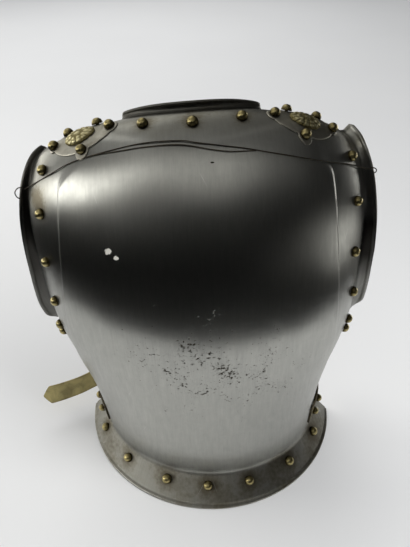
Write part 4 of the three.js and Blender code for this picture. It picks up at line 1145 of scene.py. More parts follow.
# %% Patch outline
PATCH = {"v": 0.868, "angle": 36, "thickness": 1.0, "lift": 0.3, "lobe": 7.2, "oval": (34, 17)}
PATCH_RIVETS = np.array(((34.5, 1), (-6, -15.5), (18, 14), (-15, 16), (-31, 2)))   # across, up


def patch_frame(side, across, up):
    """Frame on the sheet at a distance across and up from a patch's middle."""
    middle = frame_at(PATCH["v"], side * PATCH["angle"])
    v = PATCH["v"] + np.asarray(up, float) / middle["per_v"]
    return frame_at(v, side * (PATCH["angle"] + np.asarray(across, float) / middle["per_degree"]))


def patch_reach(turn):
    """Distance from the middle to the scalloped outline."""
    dx, dy = np.cos(turn), np.sin(turn)
    reach = 1 / np.hypot(dx / PATCH["oval"][0], dy / PATCH["oval"][1])
    for across, up in PATCH_RIVETS:
        along, aside = across * dx + up * dy, across * dy - up * dx
        inside = (along > 0) & (np.abs(aside) < PATCH["lobe"])
        lobe = along + np.sqrt(np.maximum(PATCH["lobe"] ** 2 - aside ** 2, 0))
        reach = np.where(inside, np.maximum(reach, lobe), reach)
    return reach


def ring_net(rings, segments):
    """Numbers of a round net's faces: a middle point and then rings of points."""
    k = np.arange(segments)
    following = (k + 1) % segments
    faces = [[0, 1 + a, 1 + b] for a, b in zip(k, following)]
    for r in range(rings - 1):
        low, high = 1 + r * segments, 1 + (r + 1) * segments
        faces += [[low + a, high + a, high + b, low + b] for a, b in zip(k, following)]
    return faces


def ring_places(rings, segments):
    """Share of the reach and turn of each point of a round net, from its middle point outwards."""
    turns = np.linspace(0, 2 * np.pi, segments, endpoint=False)
    share = np.concatenate(([0.0], np.repeat(np.array(rings), segments)))
    return share, np.concatenate(([0.0], np.tile(turns, len(rings))))


def relief_body(side, rings, segments, reach_of, top_of, foot):
    """A closed body on the shoulder: a top net, a bottom net at the foot, and the rim between."""
    share, turn = ring_places(rings, segments)
    across, up = reach_of(share, turn)
    base = patch_frame(side, across, up)
    top = base["point"] + base["normal"] * (foot + top_of(share, turn, across, up))[:, None]
    bottom = base["point"] + base["normal"] * foot
    faces = ring_net(len(rings), segments)
    count = len(top)
    last = 1 + (len(rings) - 1) * segments
    rim = [[last + k, last + k + count, last + (k + 1) % segments + count, last + (k + 1) % segments]
           for k in range(segments)]
    both = faces + [[i + count for i in face[::-1]] for face in faces] + rim
    if side < 0:
        both = [face[::-1] for face in both]
    return np.concatenate((top, bottom)), both, count


# %% Patch finish and mesh
def dull_steel():
    """Thin rolled steel that was never polished again: grey, cloudy and soft in its gloss.

    Handling has stained it in patches of 13 mm. Rolling leaves a skin much finer than 1 mm, so its
    grain is drawn at 1.1 mm. The rim is rubbed a little brighter.
    """
    made, tree, shader = new_material("thin rolled steel, dull and stained")
    shader.inputs["Metallic"].default_value = 1.0
    place = add(tree, "ShaderNodeTexCoord").outputs["Object"]
    edge = add(tree, "ShaderNodeAttribute", attribute_name="relief").outputs["Fac"]
    stain = add(tree, NOISE, {0: place, "Scale": per_metre(13), "Detail": 5.0, "Distortion": 0.5})
    grain = add(tree, NOISE, {0: place, "Scale": per_metre(1.1), "Detail": 2.0})
    stained = add(tree, RANGE, {0: stain, 1: 0.36, 2: 0.66})
    colour = add(tree, MIX, {0: stained, 6: linear("a5a193"), 7: linear("c4c1b5")},
                 data_type="RGBA")
    rubbed = add(tree, MIX, {0: edge, 6: colour.outputs[2], 7: linear("bcb9ad")},
                 data_type="RGBA")
    rough = add(tree, RANGE, {0: stain, 1: 0.3, 2: 0.7, 3: 0.52, 4: 0.40})
    beaten = add(tree, BUMP, {"Height": stain, "Distance": 0.0005, "Strength": 0.5})
    normal = add(tree, BUMP, {"Height": grain, "Distance": 0.00005, "Strength": 0.6,
                              "Normal": beaten})
    tree.links.new(rubbed.outputs[2], shader.inputs["Base Color"])
    tree.links.new(rough.outputs[0], shader.inputs["Roughness"])
    tree.links.new(normal.outputs[0], shader.inputs["Normal"])
    return made


DULL_STEEL = dull_steel()
PATCH_RINGS = (0.15, 0.3, 0.45, 0.6, 0.72, 0.82, 0.9, 0.95, 0.975, 0.99, 1.0)
PATCH_SEGMENTS = 220
PATCH_BUNCHING = 1.9                              # crowds the segments towards the oval's ends
PATCH_ROUND_FROM, ROSETTE_ROUND_FROM = 0.93, 0.95
PATCH_RUBBED, RUBBED_RINGS = 0.35, 4
DISH_DEPTH, DISH_REACH = 0.25, 6.5


def patch_outline(share, turn):
    """Places across and up, where share runs from 0 at the middle to 1 on the scalloped outline."""
    bunched = np.arctan2(np.sin(turn), PATCH_BUNCHING * np.cos(turn))
    far = share * patch_reach(bunched)
    return far * np.cos(bunched), far * np.sin(bunched)


def rounded_rim(share, start):
    """1 over the middle, falling in a quarter circle from start to 0 on the outline."""
    into = np.clip((share - start) / (1 - start), 0, 1)
    return np.sqrt(np.clip(1 - into ** 2, 0, 1))


def patch_top(share, turn, across, up):
    """Nearly flat, rounded down at the rim, and dished a little round each rivet."""
    gaps = np.hypot(across[:, None] - PATCH_RIVETS[:, 0], up[:, None] - PATCH_RIVETS[:, 1]).min(1)
    dish = DISH_DEPTH * np.exp(-(gaps / DISH_REACH) ** 4) * (share < PATCH_ROUND_FROM)
    return PATCH["thickness"] * (0.35 + 0.65 * rounded_rim(share, PATCH_ROUND_FROM)) - dish


PATCH_TOP = PATCH["lift"] + PATCH["thickness"]
for side, name in SIDES.items():
    points, faces, count = relief_body(side, PATCH_RINGS, PATCH_SEGMENTS, patch_outline, patch_top,
                                       PATCH["lift"])
    patch = new_object(f"scalloped_patch_{name}", points, faces, DULL_STEEL)
    bright = np.zeros(len(points))
    bright[count - RUBBED_RINGS * PATCH_SEGMENTS:count] = PATCH_RUBBED
    store_number(patch.data, "relief", bright)
    finish_piece(patch, "patch_steel", f"shoulder_patch_{name}", sharp=60)
    lobes = places(patch_frame(side, PATCH_RIVETS[:, 0], PATCH_RIVETS[:, 1]), PATCH_TOP)
    rivet_row(f"patch_rivets_{name}", lobes, numbered(f"rivet_patch_{name}", 5),
              packing_mm=PATCH_TOP, seed=21 + side, head_mm=PATCH_HEAD_MM)

# %% [markdown]
# ## Rosettes
#
# The brass rosette was pressed in a die: two rings of petals, the outer ones with a groove down
# their middle, round a boss with a ring of small beads. A pattern of this kind is a height that
# depends on the distance from the middle and on the turn, so a round net is lifted by that rule.
# The height is kept on the points as well, because brass stays brown in the hollows and bright
# on the tops.

# %% Rosette relief
ROSETTE = {"half": (17, 10), "rim": 0.8, "dome": 2.6, "dome_power": 2.2, "lift": 0.5,
           "petals": 14, "inner_petals": 9, "beads": 14}
ROSETTE_RINGS = np.round(np.concatenate((np.linspace(0.05, 0.92, 27), (0.95, 0.975, 0.99, 1.0))), 3)
ROSETTE_SEGMENTS = 176
OUTER_RING, INNER_RING, BEAD_RING = (0.78, 0.15), (0.50, 0.12), (0.29, 0.04)       # middle, breadth
BOSS, GROOVE = (0, 0.2), (1, 0.05)
PETAL_HEIGHT, BOSS_HEIGHT, BEAD_HEIGHT, GROOVE_DEPTH, UNEVENNESS = 1.1, 1.1, 0.35, 0.35, 0.22


def hump(x, place):
    """1 at the middle of a place and fading away on both sides over its breadth."""
    return np.exp(-((x - place[0]) / place[1]) ** 2)


def rosette_outline(share, turn):
    """Places across and up; the outline dips a little between the petals."""
    wavy = 1 - 0.035 * (1 - np.abs(np.cos(ROSETTE["petals"] * turn / 2))) * share ** 6
    return (share * wavy * ROSETTE["half"][0] * np.cos(turn),
            share * wavy * ROSETTE["half"][1] * np.sin(turn))


def rosette_relief(share, turn):
    """Height of the petals and beads above the dome, in millimetres."""
    outer_petal = np.abs(np.cos(ROSETTE["petals"] * turn / 2)) ** 0.7
    inner_petal = np.abs(np.sin(ROSETTE["inner_petals"] * turn / 2 + 0.4)) ** 0.8
    outer, inner = hump(share, OUTER_RING), hump(share, INNER_RING)
    groove = GROOVE_DEPTH * hump(outer_petal, GROOVE) * outer
    boss = BOSS_HEIGHT * hump(share, BOSS)
    beads = BEAD_HEIGHT * hump(share, BEAD_RING) * (0.5 + 0.5 * np.cos(ROSETTE["beads"] * turn))
    uneven = UNEVENNESS * np.sin(19 * share + 3 * turn) * np.sin(5 * turn + 7 * share) * share
    petals = PETAL_HEIGHT * outer_petal * outer + inner_petal * inner
    return petals - groove + boss + beads + uneven


def rosette_top(share, turn, across, up):
    """Height of the top above the foot: rim, dome and petals together."""
    dome = ROSETTE["dome"] * (1 - share ** ROSETTE["dome_power"])
    rim = ROSETTE["rim"] * (0.4 + 0.6 * rounded_rim(share, ROSETTE_ROUND_FROM))
    return rim + dome + rosette_relief(share, turn) * (share < 1)


ROSETTE_BRASS = aged_brass("pressed brass, dark in its hollows", "ece3b6", "8b8159", 0.36)
for side, name in SIDES.items():
    points, faces, count = relief_body(side, ROSETTE_RINGS, ROSETTE_SEGMENTS, rosette_outline,
                                       rosette_top, PATCH_TOP + ROSETTE["lift"])
    rosette = new_object(f"petalled_rosette_{name}", points, faces, ROSETTE_BRASS)
    share, turn = ring_places(ROSETTE_RINGS, ROSETTE_SEGMENTS)
    tops = np.clip(rosette_relief(share, turn) / 1.2 + 0.1, 0, 1) * (share < 0.96)
    store_number(rosette.data, "relief", np.concatenate((tops, 0 * tops)))
    finish_piece(rosette, "brass", f"rosette_{name}", sharp=70)

# %% [markdown]
# ## Belt, strap and buckle
#
# A narrow buff-leather belt was riveted to each side at the waist. On the left only its pointed
# tongue is left, dried out and sprung away from the steel. On the right a short strap folds back
# round the bar of a plain brass buckle. Each strap is a rounded section carried along a route:
# at every station its width stands upright and its thickness points outwards.

# %% Leather finish
def buff_leather():
    """Oil-tanned buff hide, dried hard: a dull yellowish nap with pores, creases and dark edges.
    Where it lies on the plate, a painted shade darkens it.

    Grease has soiled it in patches of 14 mm, and it has creased across its length every 3.5 mm or
    so. Its pores are 0.2 mm wide and are drawn at 0.8 mm, or they would not show.
    """
    made, tree, shader = new_material("buff leather, dried and soiled")
    flat = add(tree, "ShaderNodeUVMap", uv_map="sheet")
    place = add(tree, "ShaderNodeTexCoord").outputs["Object"]
    # The points' number holds the dark rubbed edges and, where the strap lies on the plate, a painted
    # shade.
    edge = add(tree, "ShaderNodeAttribute", attribute_name="relief").outputs["Fac"]
    across = add(tree, MAPPING, {0: flat, "Scale": (0.25, 1, 1)})
    soil = add(tree, NOISE, {0: place, "Scale": per_metre(14), "Detail": 5.0, "Distortion": 0.6})
    pores = add(tree, CELLS, {0: place, "Scale": per_metre(0.8)})
    creases = add(tree, NOISE, {0: across, "Scale": per_metre(3.5), "Detail": 3.0, "Distortion": 0.4})
    soiled = add(tree, RANGE, {0: soil, 1: 0.42, 2: 0.70, 4: 0.5})
    dirt_and_painted_shade = add(tree, MATH, {0: soiled, 1: edge}, operation="ADD", use_clamp=True)
    colour = add(tree, MIX, {0: dirt_and_painted_shade, 6: linear("c2b47a"), 7: linear("3a3322")},
                 data_type="RGBA")
    rough = add(tree, RANGE, {0: soil, 1: 0.3, 2: 0.7, 3: 0.6, 4: 0.85})
    wrinkled = add(tree, BUMP, {"Height": creases, "Distance": 0.0005, "Strength": 0.6})
    normal = add(tree, BUMP, {"Height": pores, "Distance": 0.0001, "Strength": 0.5,
                              "Normal": wrinkled})
    tree.links.new(colour.outputs[2], shader.inputs["Base Color"])
    tree.links.new(rough.outputs[0], shader.inputs["Roughness"])
    tree.links.new(normal.outputs[0], shader.inputs["Normal"])
    return made


LEATHER = buff_leather()
print("finish:", LEATHER.name)

# %% Stations along a strap
BELT = {"width": 24.0, "thickness": 2.6, "v": 0.042, "lift": 1.2}
BELT_ON_PLATE = (64, 67, 70, 73, 76, 79, 82, 85, 88)
BELT_RIVETS = np.array((69.0, 79.0))              # angles, like the row above
TONGUE_ROUTE = ((-146, 12, 46), (-152, 16, 42.5), (-162, 13, 38), (-176, 6, 34.5), (-191, -1, 32.5),
                (-206, -8, 31.7), (-222, -15, 32))
STRAP_ROUTE = ((140.8, 10, 48), (140.6, 20.8, 48), (139.5, 23.7, 48), (136.6, 24.9, 48),
               (133.7, 23.7, 48), (132.6, 20.8, 48), (132.8, 10, 48))


def smooth_route(points, count):
    """Points and directions on a smooth curve, a Catmull-Rom spline, through a few given points."""
    points = np.asarray(points, float)
    start, end = 2 * points[0] - points[1], 2 * points[-1] - points[-2]
    p = np.vstack((start, points, end))
    t = np.linspace(0, len(points) - 1, count + 1)
    k = np.minimum(t.astype(int), len(points) - 2)
    u = (t - k)[:, None]
    a, b, c, d = p[k], p[k + 1], p[k + 2], p[k + 3]
    place = 0.5 * (2 * b + (c - a) * u + (2 * a - 5 * b + 4 * c - d) * u ** 2
                   + (3 * b - a - 3 * c + d) * u ** 3)
    ahead = 0.5 * ((c - a) + 2 * (2 * a - 5 * b + 4 * c - d) * u + 3 * (3 * b - a - 3 * c + d) * u ** 2)
    return place, unit(ahead)


def strap_stations(side, route, count, roll=0.0):
    """Middle, width direction and thickness direction of a strap at each station.

    The free part can roll gradually on to its back, by the tangent of the angle at its end.
    """
    on = frame_at(BELT["v"], side * np.array(BELT_ON_PLATE, float))
    middle = on["point"] + on["normal"] * (BELT["lift"] + BELT["thickness"] / 2)
    place, ahead = smooth_route(np.vstack((middle[-1], route)), count)
    upright = unit(np.linspace(0, roll, count + 1)[:, None] * (0, 1.0, 0) + (0, 0, 1.0))
    wide = unit(upright - ahead * (ahead * upright).sum(-1, keepdims=True))
    thick = np.cross(ahead, wide) * side
    return (np.vstack((middle, place[1:])), np.vstack((on["up"], wide[1:])),
            np.vstack((on["normal"], thick[1:])))


# %% Strap mesh
STRAP_SECTION = 28
# A painted shade darkens a strap where it lies on the plate and fades over the next 26 mm; the edges
# are rubbed dark.
ON_PLATE_PAINTED_SHADE, DARK_OVER, EDGE_RUBBED, EDGE_FROM = 0.9, 26, 0.35, 0.78


def strap_section(width, thickness):
    """A rectangle with soft corners, as offsets along the width and the thickness."""
    turn = np.linspace(0, 2 * np.pi, STRAP_SECTION, endpoint=False) + np.pi / STRAP_SECTION
    return np.stack((width / 2 * signed_power(np.cos(turn), 0.18),
                     thickness / 2 * signed_power(np.sin(turn), 0.5)), -1)


def strap_mesh(name, side, stations, widths, material):
    """Carries the section along the stations and closes both ends; a painted shade darkens it where it
    lies on the plate.
    """
    middle, wide, thick = stations
    points, edge, flat = [], [], []
    length = np.concatenate(([0], np.cumsum(np.linalg.norm(np.diff(middle, axis=0), axis=1))))
    for n, width in enumerate(widths):
        section = strap_section(width, BELT["thickness"])
        points.append(middle[n] + section[:, :1] * wide[n] + section[:, 1:] * thick[n])
        off_plate = length[n] - length[len(BELT_ON_PLATE)]
        # Painted shade where the strap lies on the plate.
        plate_shade_painted = ON_PLATE_PAINTED_SHADE * (1 - smooth_step(off_plate / DARK_OVER))
        outwards = np.abs(section[:, 0]) / (width / 2)
        rubbed = EDGE_RUBBED * smooth_step((outwards - EDGE_FROM) / (1 - EDGE_FROM))
        edge.append(rubbed + plate_shade_painted)
        flat.append(np.stack((section[:, 0], np.full(STRAP_SECTION, length[n])), -1))
    s, count = STRAP_SECTION, len(widths)
    faces = [[n * s + k, n * s + (k + 1) % s, (n + 1) * s + (k + 1) % s, (n + 1) * s + k]
             for n in range(count - 1) for k in range(s)]
    faces += [list(range(s))[::-1], [(count - 1) * s + k for k in range(s)]]
    if side < 0:
        faces = [face[::-1] for face in faces]
    piece = new_object(name, np.concatenate(points), faces, material)
    store_map(piece.data, np.concatenate(flat))
    store_number(piece.data, "relief", np.concatenate(edge))
    return piece


SHANK_HOLE_RADIUS = 2.3


def shank_tool(point, normal):
    """A round bar that a Boolean modifier takes away where a rivet's shank goes through."""
    first = unit(np.cross(normal, (0.0, 0.3, 1.0)))
    second = np.cross(normal, first)
    turn = np.linspace(0, 2 * np.pi, 20, endpoint=False)[:, None]
    return through_tool(point + SHANK_HOLE_RADIUS * (np.cos(turn) * first + np.sin(turn) * second),
                        normal, 8)


def shank_tools(side):
    """One bar for each rivet of the belt on one side."""
    return [shank_tool(*spot) for spot in zip(*places(frame_at(BELT["v"], side * BELT_RIVETS)))]


# %% The tongue on the left
TONGUE_STATIONS = 64
TONGUE_ROLL = 0.6                                 # tangent of the angle that the tip has rolled
TIP_LENGTH = 9
tongue_stations = strap_stations(-1, TONGUE_ROUTE, TONGUE_STATIONS, roll=TONGUE_ROLL)
travel = np.linalg.norm(np.diff(tongue_stations[0], axis=0), axis=1)
to_tip = np.concatenate((np.cumsum(travel[::-1])[::-1], [0]))
tongue_widths = BELT["width"] * np.clip(0.06 + to_tip / TIP_LENGTH, 0, 1) ** 0.9
tongue = strap_mesh("belt_tongue_leather", -1, tongue_stations, tongue_widths, LEATHER)
carve(tongue, shank_tools(-1))
finish_piece(tongue, "leather", "belt_tongue", sharp=60)
print("tongue is", round(float(travel.sum()), 1), "mm long")

# %% The strap and its buckle on the right
STRAP_STATIONS = 60
PRONG_SLOT = {"at": (138.6, 23.3, 48), "half": (6.0, 3.5, 2.2)}
strap_places = strap_stations(1, STRAP_ROUTE, STRAP_STATIONS)
strap_widths = np.full(len(strap_places[0]), BELT["width"])
strap = strap_mesh("buckle_strap_leather", 1, strap_places, strap_widths, LEATHER)


def box_tool(centre, half):
    """A box that a Boolean modifier takes away."""
    corners = np.array([(x, y, z) for x in (-1, 1) for y in (-1, 1) for z in (-1, 1)], float)
    faces = [[0, 1, 3, 2], [4, 6, 7, 5], [0, 4, 5, 1], [2, 3, 7, 6], [0, 2, 6, 4], [1, 5, 7, 3]]
    return new_object("box_tool", corners * half + centre, faces)


carve(strap, [box_tool(PRONG_SLOT["at"], PRONG_SLOT["half"]), *shank_tools(1)])
finish_piece(strap, "leather", "buckle_strap", sharp=60)
belt_packing = BELT["lift"] + BELT["thickness"]
for side, name in SIDES.items():
    spots = places(frame_at(BELT["v"], side * BELT_RIVETS), belt_packing)
    rivet_row(f"strap_rivets_{name}", spots, numbered(f"strap_rivet_{name}", 2),
              packing_mm=belt_packing, seed=31 + side, head_mm=BELT_HEAD_MM)


# %% Buckle frame and prong
BUCKLE = {"at": (136.6, 20.8, 48.0), "length": 27.0, "half_width": 18.5, "bar": 3.2, "prong": 1.5,
          "corner": 4.0}
BAR_SIDES = 14


def sweep(name, centres, radii, material, closed=False):
    """A round bar along a route that doesn't run along X."""
    centres = np.asarray(centres, float)
    if closed:
        ahead = unit(np.roll(centres, -1, 0) - np.roll(centres, 1, 0))
    else:
        ahead = unit(np.gradient(centres, axis=0))
    side_on = unit(np.cross(ahead, (1.0, 0.0, 0.0)))
    deep = np.cross(side_on, ahead)
    sides = BAR_SIDES
    turn = np.linspace(0, 2 * np.pi, sides, endpoint=False)[None, :, None]
    ring = np.cos(turn) * side_on[:, None] + np.sin(turn) * deep[:, None]
    points = centres[:, None] + ring * np.broadcast_to(radii, len(centres))[:, None, None]
    n, faces = len(centres), []
    for a in range(n if closed else n - 1):
        b = (a + 1) % n
        faces += [[a * sides + k, b * sides + k, b * sides + (k + 1) % sides,
                   a * sides + (k + 1) % sides] for k in range(sides)]
    if not closed:
        faces += [list(range(sides)), [(n - 1) * sides + k for k in range(sides)][::-1]]
    return new_object(name, points.reshape(-1, 3), faces, material)


def buckle_route():
    """The middle line of the frame: a rectangle with rounded corners, in the Y-Z plane."""
    x, y, z = BUCKLE["at"]
    bar, corner = BUCKLE["bar"], BUCKLE["corner"]
    low, high = y, y + BUCKLE["length"] - bar
    top = BUCKLE["half_width"] - bar / 2
    turn = np.linspace(0, np.pi / 2, 9)
    route = []
    for cy, cz, start in ((high - corner, top - corner, 0), (low + corner, top - corner, 1),
                          (low + corner, corner - top, 2), (high - corner, corner - top, 3)):
        a = turn + start * np.pi / 2
        route.append(np.stack((0 * a + x, cy + corner * np.cos(a), z + cz + corner * np.sin(a)), -1))
    return np.concatenate(route)


def join_pieces(first, *others):
    """Joins some objects into the first one."""
    with bpy.context.temp_override(active_object=first, selected_editable_objects=[first, *others]):
        bpy.ops.object.join()
    return first


BUCKLE_BRASS = aged_brass("cast brass, rubbed by the strap", "b3a473", "4e452f", 0.30)
frame_bar = sweep("buckle_brass", buckle_route(), BUCKLE["bar"] / 2, BUCKLE_BRASS, closed=True)
x, y, z = BUCKLE["at"]
reach = BUCKLE["length"] - BUCKLE["bar"] / 2
along = np.linspace(0, 1, 12)
rise = BUCKLE["bar"] / 2 + 0.6 * BUCKLE["prong"]  # the tip rests on the far bar
aside, ahead_of_bar, taper = 0.3, 0.6, 0.35
prong_route = np.stack((x + aside + rise * along,
                        y + ahead_of_bar + (reach - ahead_of_bar) * along, 0 * along + z), -1)
prong = sweep("prong", prong_route, BUCKLE["prong"] * (1 - taper * along ** 2), BUCKLE_BRASS)
buckle = join_pieces(frame_bar, prong)
store_number(buckle.data, "relief", np.full(len(buckle.data.vertices), 0.75))
finish_piece(buckle, "brass", "buckle", sharp=50)

# %% [markdown]
# ## The hanging wire
#
# Someone hung the plate on a wall with a length of iron wire: it lies across the back in two
# strands and is hooked over both armhole flanges. The routes are found on the sheet and lifted
# off it a little. A Geometry Nodes tree gives the route its round section, so the thickness of
# the wire is one named input.

# %% Iron wire finish and tree
def rusty_iron():
    """Drawn iron wire with a skin of rust: dark grey with brown freckles.

    Drawing left it round and smooth. The rust grew on it in spots of 4 to 5 mm and took the gloss
    away there, so the wire reads as a dark line with a broken light along it.
    """
    made, tree, shader = new_material("drawn iron wire, rusted")
    shader.inputs["Metallic"].default_value = 1.0
    place = add(tree, "ShaderNodeTexCoord").outputs["Object"]
    rust = add(tree, NOISE, {0: place, "Scale": per_metre(4.5), "Detail": 4.0})
    rusted = add(tree, RANGE, {0: rust, 1: 0.36, 2: 0.64})
    colour = add(tree, MIX, {0: rusted, 6: linear("57544f"), 7: linear("6b6457")},
                 data_type="RGBA")
    rough = add(tree, RANGE, {0: rust, 1: 0.3, 2: 0.7, 3: 0.42, 4: 0.7})
    normal = add(tree, BUMP, {"Height": rust, "Distance": 0.0002, "Strength": 0.7})
    tree.links.new(colour.outputs[2], shader.inputs["Base Color"])
    tree.links.new(rough.outputs[0], shader.inputs["Roughness"])
    tree.links.new(normal.outputs[0], shader.inputs["Normal"])
    return made


def wire_tree():
    """Carries a round section along a route; sizes are in metres."""
    tree, given = open_tree("drawn wire", (
        ("Route", "Geometry", None), ("Wire radius", "Float", 0.0006), ("Sides", "Int", 10),
        ("Finish", "Material", None)), "Wire")
    route = add(tree, "GeometryNodeMeshToCurve", {0: given["Route"]})
    section = add(tree, "GeometryNodeCurvePrimitiveCircle", {"Resolution": given["Sides"],
                                                             "Radius": given["Wire radius"]})
    drawn = add(tree, "GeometryNodeCurveToMesh", {"Curve": route, "Profile Curve": section,
                                                  "Fill Caps": True})
    real = add(tree, "GeometryNodeRealizeInstances", {0: drawn})
    done = add(tree, "GeometryNodeSetMaterial", {"Geometry": real, "Material": given["Finish"]})
    add(tree, "NodeGroupOutput", {0: done})
    return tree


IRON = rusty_iron()
WIRE_TREE = wire_tree()
print("wire tree:", len(WIRE_TREE.nodes), "nodes")

# %% Wire routes
WIRE = {"radius": 0.6, "lift": 0.9, "clearance": 0.6, "cornering": 1.2}
WIRE_HOOK = {-1: (0.757, 1.0), 1: (0.768, 0.3)}   # v, and how open the loop is
WIRE_UPPER = (                                    # v, angle
    (0.762, -50), (0.771, -39.6), (0.774, -28.6), (0.781, -14), (0.779, -3.4), (0.769, 0.8),
    (0.758, 7), (0.751, 13), (0.744, 19), (0.738, 27.6), (0.736, 36), (0.742, 45), (0.754, 54.6),
)
WIRE_LOWER = (
    (0.774, -29), (0.770, -20), (0.770, -12), (0.767, -3), (0.750, 4), (0.744, 9), (0.746, 16),
)
UPPER_STATIONS, LOWER_STATIONS = 420, 120


def hook_route(side):
    """Over the rim of an armhole flange in a loop and down behind it.

    Each row of turns is a distance off the rim, a height above the flange's face, and how far the
    open loop drops there.
    """
    v, loop = WIRE_HOOK[side]
    j = int(np.argmin(np.abs(row_v - v)))
    strip, _ = arm_flange(side)
    rim, before = strip[j, -1], strip[j, -2]
    out = unit(rim - before)
    edge = side * side_edge(row_v[j])
    face = frame_at(row_v[j], edge)["normal"]
    across_out = side * frame_at(row_v[j], edge)["across"]
    face = unit(face * math.cos(ARM_TURN) - across_out * math.sin(ARM_TURN))
    face = unit(face - out * (face @ out))
    clear = WIRE["radius"] + WIRE["clearance"]
    front, back = ARM_BEAD - SHEET / 2 + clear, -ARM_BEAD - SHEET / 2 - clear
    far, corner = 2 * ARM_BEAD, WIRE["cornering"]
    down = np.cross(out, face)
    down = down * np.sign(-down[2])
    bent = far + clear / 4 + 2 * loop
    turns = ((-ARM_BEAD / 2, front + corner / 3, -1), (ARM_BEAD, front, -2),
             (bent, front - corner, -1), (far + clear + 3.5 * loop, -SHEET / 2, 3),
             (bent, back + corner, 7), (ARM_BEAD, back, 8),
             (-ARM_BEAD / 2, back - corner / 3, 7.5))
    return [rim + out * along + face * above + down * loop * drop for along, above, drop in turns]


def laid_route(table):
    """Points lifted off the sheet along a table of places."""
    on = frame_at(*np.array(table, float).T)
    return list(on["point"] + on["normal"] * WIRE["lift"])


def wire_piece(name, route, node, count):
    """A wire along a smooth route, made by the tree from a chain of points."""
    route, _ = smooth_route(np.array(route), count)
    carrier = new_object(name, route, [], edges=[(k, k + 1) for k in range(len(route) - 1)])
    run_tree(WIRE_TREE, carrier, {"Wire radius": WIRE["radius"] / 1000, "Finish": IRON})
    return finish_piece(carrier, "iron_wire", node, sharp=60)


upper_route = hook_route(-1)[::-1] + laid_route(WIRE_UPPER) + hook_route(1)
wire_piece("wire_upper_strand", upper_route, "wire_upper", UPPER_STATIONS)
wire_piece("wire_lower_strand", laid_route(WIRE_LOWER), "wire_lower", LOWER_STATIONS)

# %% [markdown]
# ## Stage and light
#
# Polished steel shows the room more than itself, so the room is what gets built. The plate stands
# on a pale table top. In a studio the table is kept small with dark cloth hung beyond it, and that
# makes the black band across the back; here the floor outside the table top is hidden from gloss
# and the world is dark there. Soft windows are drawn in the world's gloss as ellipses of azimuth
# and elevation, an arch of them from low on the left to high over the front, and that makes the
# white band above. Three soft lamps, hidden from gloss, light the leather and the floor.

# %% Pale table top and floor
TABLE_HALF = (0.55, 0.63)
FLOOR_REACH = 5.0
RIM_SEGMENTS = 96


def pale_paper():
    """Matt paper on the table: no gloss to speak of, and an unevenness as slow as 400 mm."""
    made, tree, shader = new_material("matt backdrop paper")
    place = add(tree, "ShaderNodeTexCoord").outputs["Object"]
    cloud = add(tree, NOISE, {0: place, "Scale": per_metre(400), "Detail": 2.0})
    colour = add(tree, MIX, {0: cloud, 6: linear("e2e3e4"), 7: linear("e8e9ea")}, data_type="RGBA")
    tree.links.new(colour.outputs[2], shader.inputs["Base Color"])
    shader.inputs["Roughness"].default_value = 0.9
    shader.inputs["Specular IOR Level"].default_value = 0.2
    return made


def stage_piece(name, points, faces, material):
    """A flat piece of the stage, from points in metres."""
    mesh = bpy.data.meshes.new(name)
    mesh.from_pydata([(x, y, 0) for x, y in points], [], faces)
    mesh.materials.append(material)
    made = bpy.data.objects.new(name, mesh)
    scene.collection.objects.link(made)
    return made


PAPER = pale_paper()
turn = np.linspace(0, 2 * np.pi, RIM_SEGMENTS, endpoint=False)
circle = np.stack((np.cos(turn), np.sin(turn)), -1)
stage_piece("table_top", (circle * TABLE_HALF).tolist(), [list(range(RIM_SEGMENTS))], PAPER)
floor = stage_piece("floor", np.concatenate((circle * TABLE_HALF, circle * FLOOR_REACH)).tolist(),
                    [[k, RIM_SEGMENTS + k, RIM_SEGMENTS + (k + 1) % RIM_SEGMENTS,
                      (k + 1) % RIM_SEGMENTS] for k in range(RIM_SEGMENTS)], PAPER)
floor.visible_glossy = False
print("table top:", TABLE_HALF, "m from its middle")


# %% World: a pale room to the eye, soft windows in the dark to gloss
WINDOWS = (                                       # in degrees: azimuth, elevation, half width,
                                                  # half height and lean; then radiance
    (-82, 10, 28, 7, 34, 3.5),
    (-60, 25, 15, 8, 30, 2.0),
    (-42, 38, 18, 6, 27, 1.7),
    (-16, 52, 19, 7, 12, 0.40),
    (12, 47, 5, 10, 0, 2.0),
    (33, 47, 17, 8, -14, 0.18),
    (96, -14, 18, 5, -26, 1.3),
    (70, -1, 14, 6, -27, 0.22),
    (134, -8, 18, 11, 0, 3.0),
    (-126, -3, 14, 11, 0, 3.0),
    (-142, 26, 50, 46, 0, 0.60),
)
WINDOW_OUTSIDE, WINDOW_INSIDE = 1.25, 0.75        # a window fades between these shares of its half
ROOM_DARK, CEILING_LEFT, CEILING_RIGHT = 0.003, 0.50, 0.12
CEILING_FROM, CEILING_FULL = math.radians(40), math.radians(56)
LEFT_END, RIGHT_END = -0.5, 0.2                   # the ceiling darkens between these along X


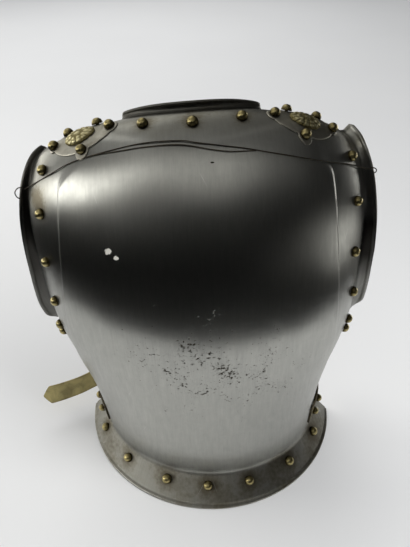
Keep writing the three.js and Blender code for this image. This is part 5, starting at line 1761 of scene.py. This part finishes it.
def room_gloss(tree):
    """Radiance of the room in each direction, as polished metal finds it."""
    ray = add(tree, "ShaderNodeTexCoord").outputs["Generated"]
    way = add(tree, "ShaderNodeSeparateXYZ", {0: ray}).outputs
    ahead = add(tree, MATH, {0: way["Y"], 1: -1.0}, operation="MULTIPLY")
    azimuth = add(tree, MATH, {0: way["X"], 1: ahead}, operation="ARCTAN2")
    elevation = add(tree, MATH, {0: way["Z"]}, operation="ARCSINE")
    chart = add(tree, XYZ, {"X": azimuth, "Y": elevation})
    high = add(tree, RANGE, {0: elevation, 1: CEILING_FROM, 2: CEILING_FULL},
               interpolation_type="SMOOTHSTEP")
    pale = add(tree, RANGE, {0: way["X"], 1: LEFT_END, 2: RIGHT_END, 3: CEILING_LEFT,
                             4: CEILING_RIGHT}, interpolation_type="SMOOTHSTEP")
    total = add(tree, MATH, {0: high, 1: pale, 2: ROOM_DARK}, operation="MULTIPLY_ADD")
    for azimuth_at, elevation_at, wide, tall, lean, radiance in WINDOWS:
        local = add(tree, MAPPING, {
            0: chart, "Location": (math.radians(azimuth_at), math.radians(elevation_at), 0),
            "Rotation": (0, 0, math.radians(lean)),
            "Scale": (math.radians(wide), math.radians(tall), 1),
        }, vector_type="TEXTURE")
        away = add(tree, "ShaderNodeVectorMath", {0: local}, operation="LENGTH").outputs["Value"]
        lit = add(tree, RANGE, {0: away, 1: WINDOW_OUTSIDE, 2: WINDOW_INSIDE, 4: radiance},
                  interpolation_type="SMOOTHSTEP")
        total = add(tree, MATH, {0: total, 1: lit}, operation="ADD")
    return total


def studio_world():
    """Gloss sees the room with its windows; everything else sees an even pale grey."""
    world = bpy.data.worlds.new("studio room")
    world.use_nodes = True
    tree = world.node_tree
    tree.nodes.clear()
    rays = add(tree, "ShaderNodeLightPath")
    pale = add(tree, "ShaderNodeBackground", {"Color": linear("e9eaec"), "Strength": 0.44})
    room = add(tree, "ShaderNodeBackground", {"Color": linear("fffefa"),
                                              "Strength": room_gloss(tree)})
    both = add(tree, "ShaderNodeMixShader", {0: rays.outputs["Is Glossy Ray"], 1: pale, 2: room})
    add(tree, "ShaderNodeOutputWorld", {0: both})
    return world


scene.world = studio_world()
scene.view_settings.view_transform = "Standard"
print("windows in the gloss:", len(WINDOWS))


# %% Soft lamps
TARGET = Vector((0.0, -0.02, 0.25))


def lamp(name, azimuth, elevation, distance, width, height, radiance, tint):
    """A rectangular soft lamp, placed by its direction from the plate and turned to face it."""
    a, e = math.radians(azimuth), math.radians(elevation)
    away = Vector((math.sin(a) * math.cos(e), -math.cos(a) * math.cos(e), math.sin(e)))
    light = bpy.data.lights.new(name, "AREA")
    light.shape = "RECTANGLE"
    light.size, light.size_y = width, height
    light.color = linear(tint)[:3]
    light.energy = radiance * math.pi * width * height
    made = bpy.data.objects.new(name, light)
    turned = away.to_track_quat("Z", "Y").to_matrix().to_4x4()
    made.matrix_world = Matrix.Translation(TARGET + away * distance) @ turned
    made.visible_camera = made.visible_glossy = False
    scene.collection.objects.link(made)
    return made


LAMPS = (   # name, azimuth and elevation in degrees, then metres: distance, width, height;
            # radiance and tint
    ("window_lamp", -105, 28, 1.4, 1.0, 0.8, 3.7, "fffdf8"),
    ("fill_lamp", 60, 28, 1.4, 1.0, 0.9, 5.4, "fffefc"),
    ("back_lamp", -160, 28, 2.6, 2.2, 1.4, 2.5, "fffefc"),
)
for settings in LAMPS:
    lamp(*settings)
print("soft lamps:", len(LAMPS))
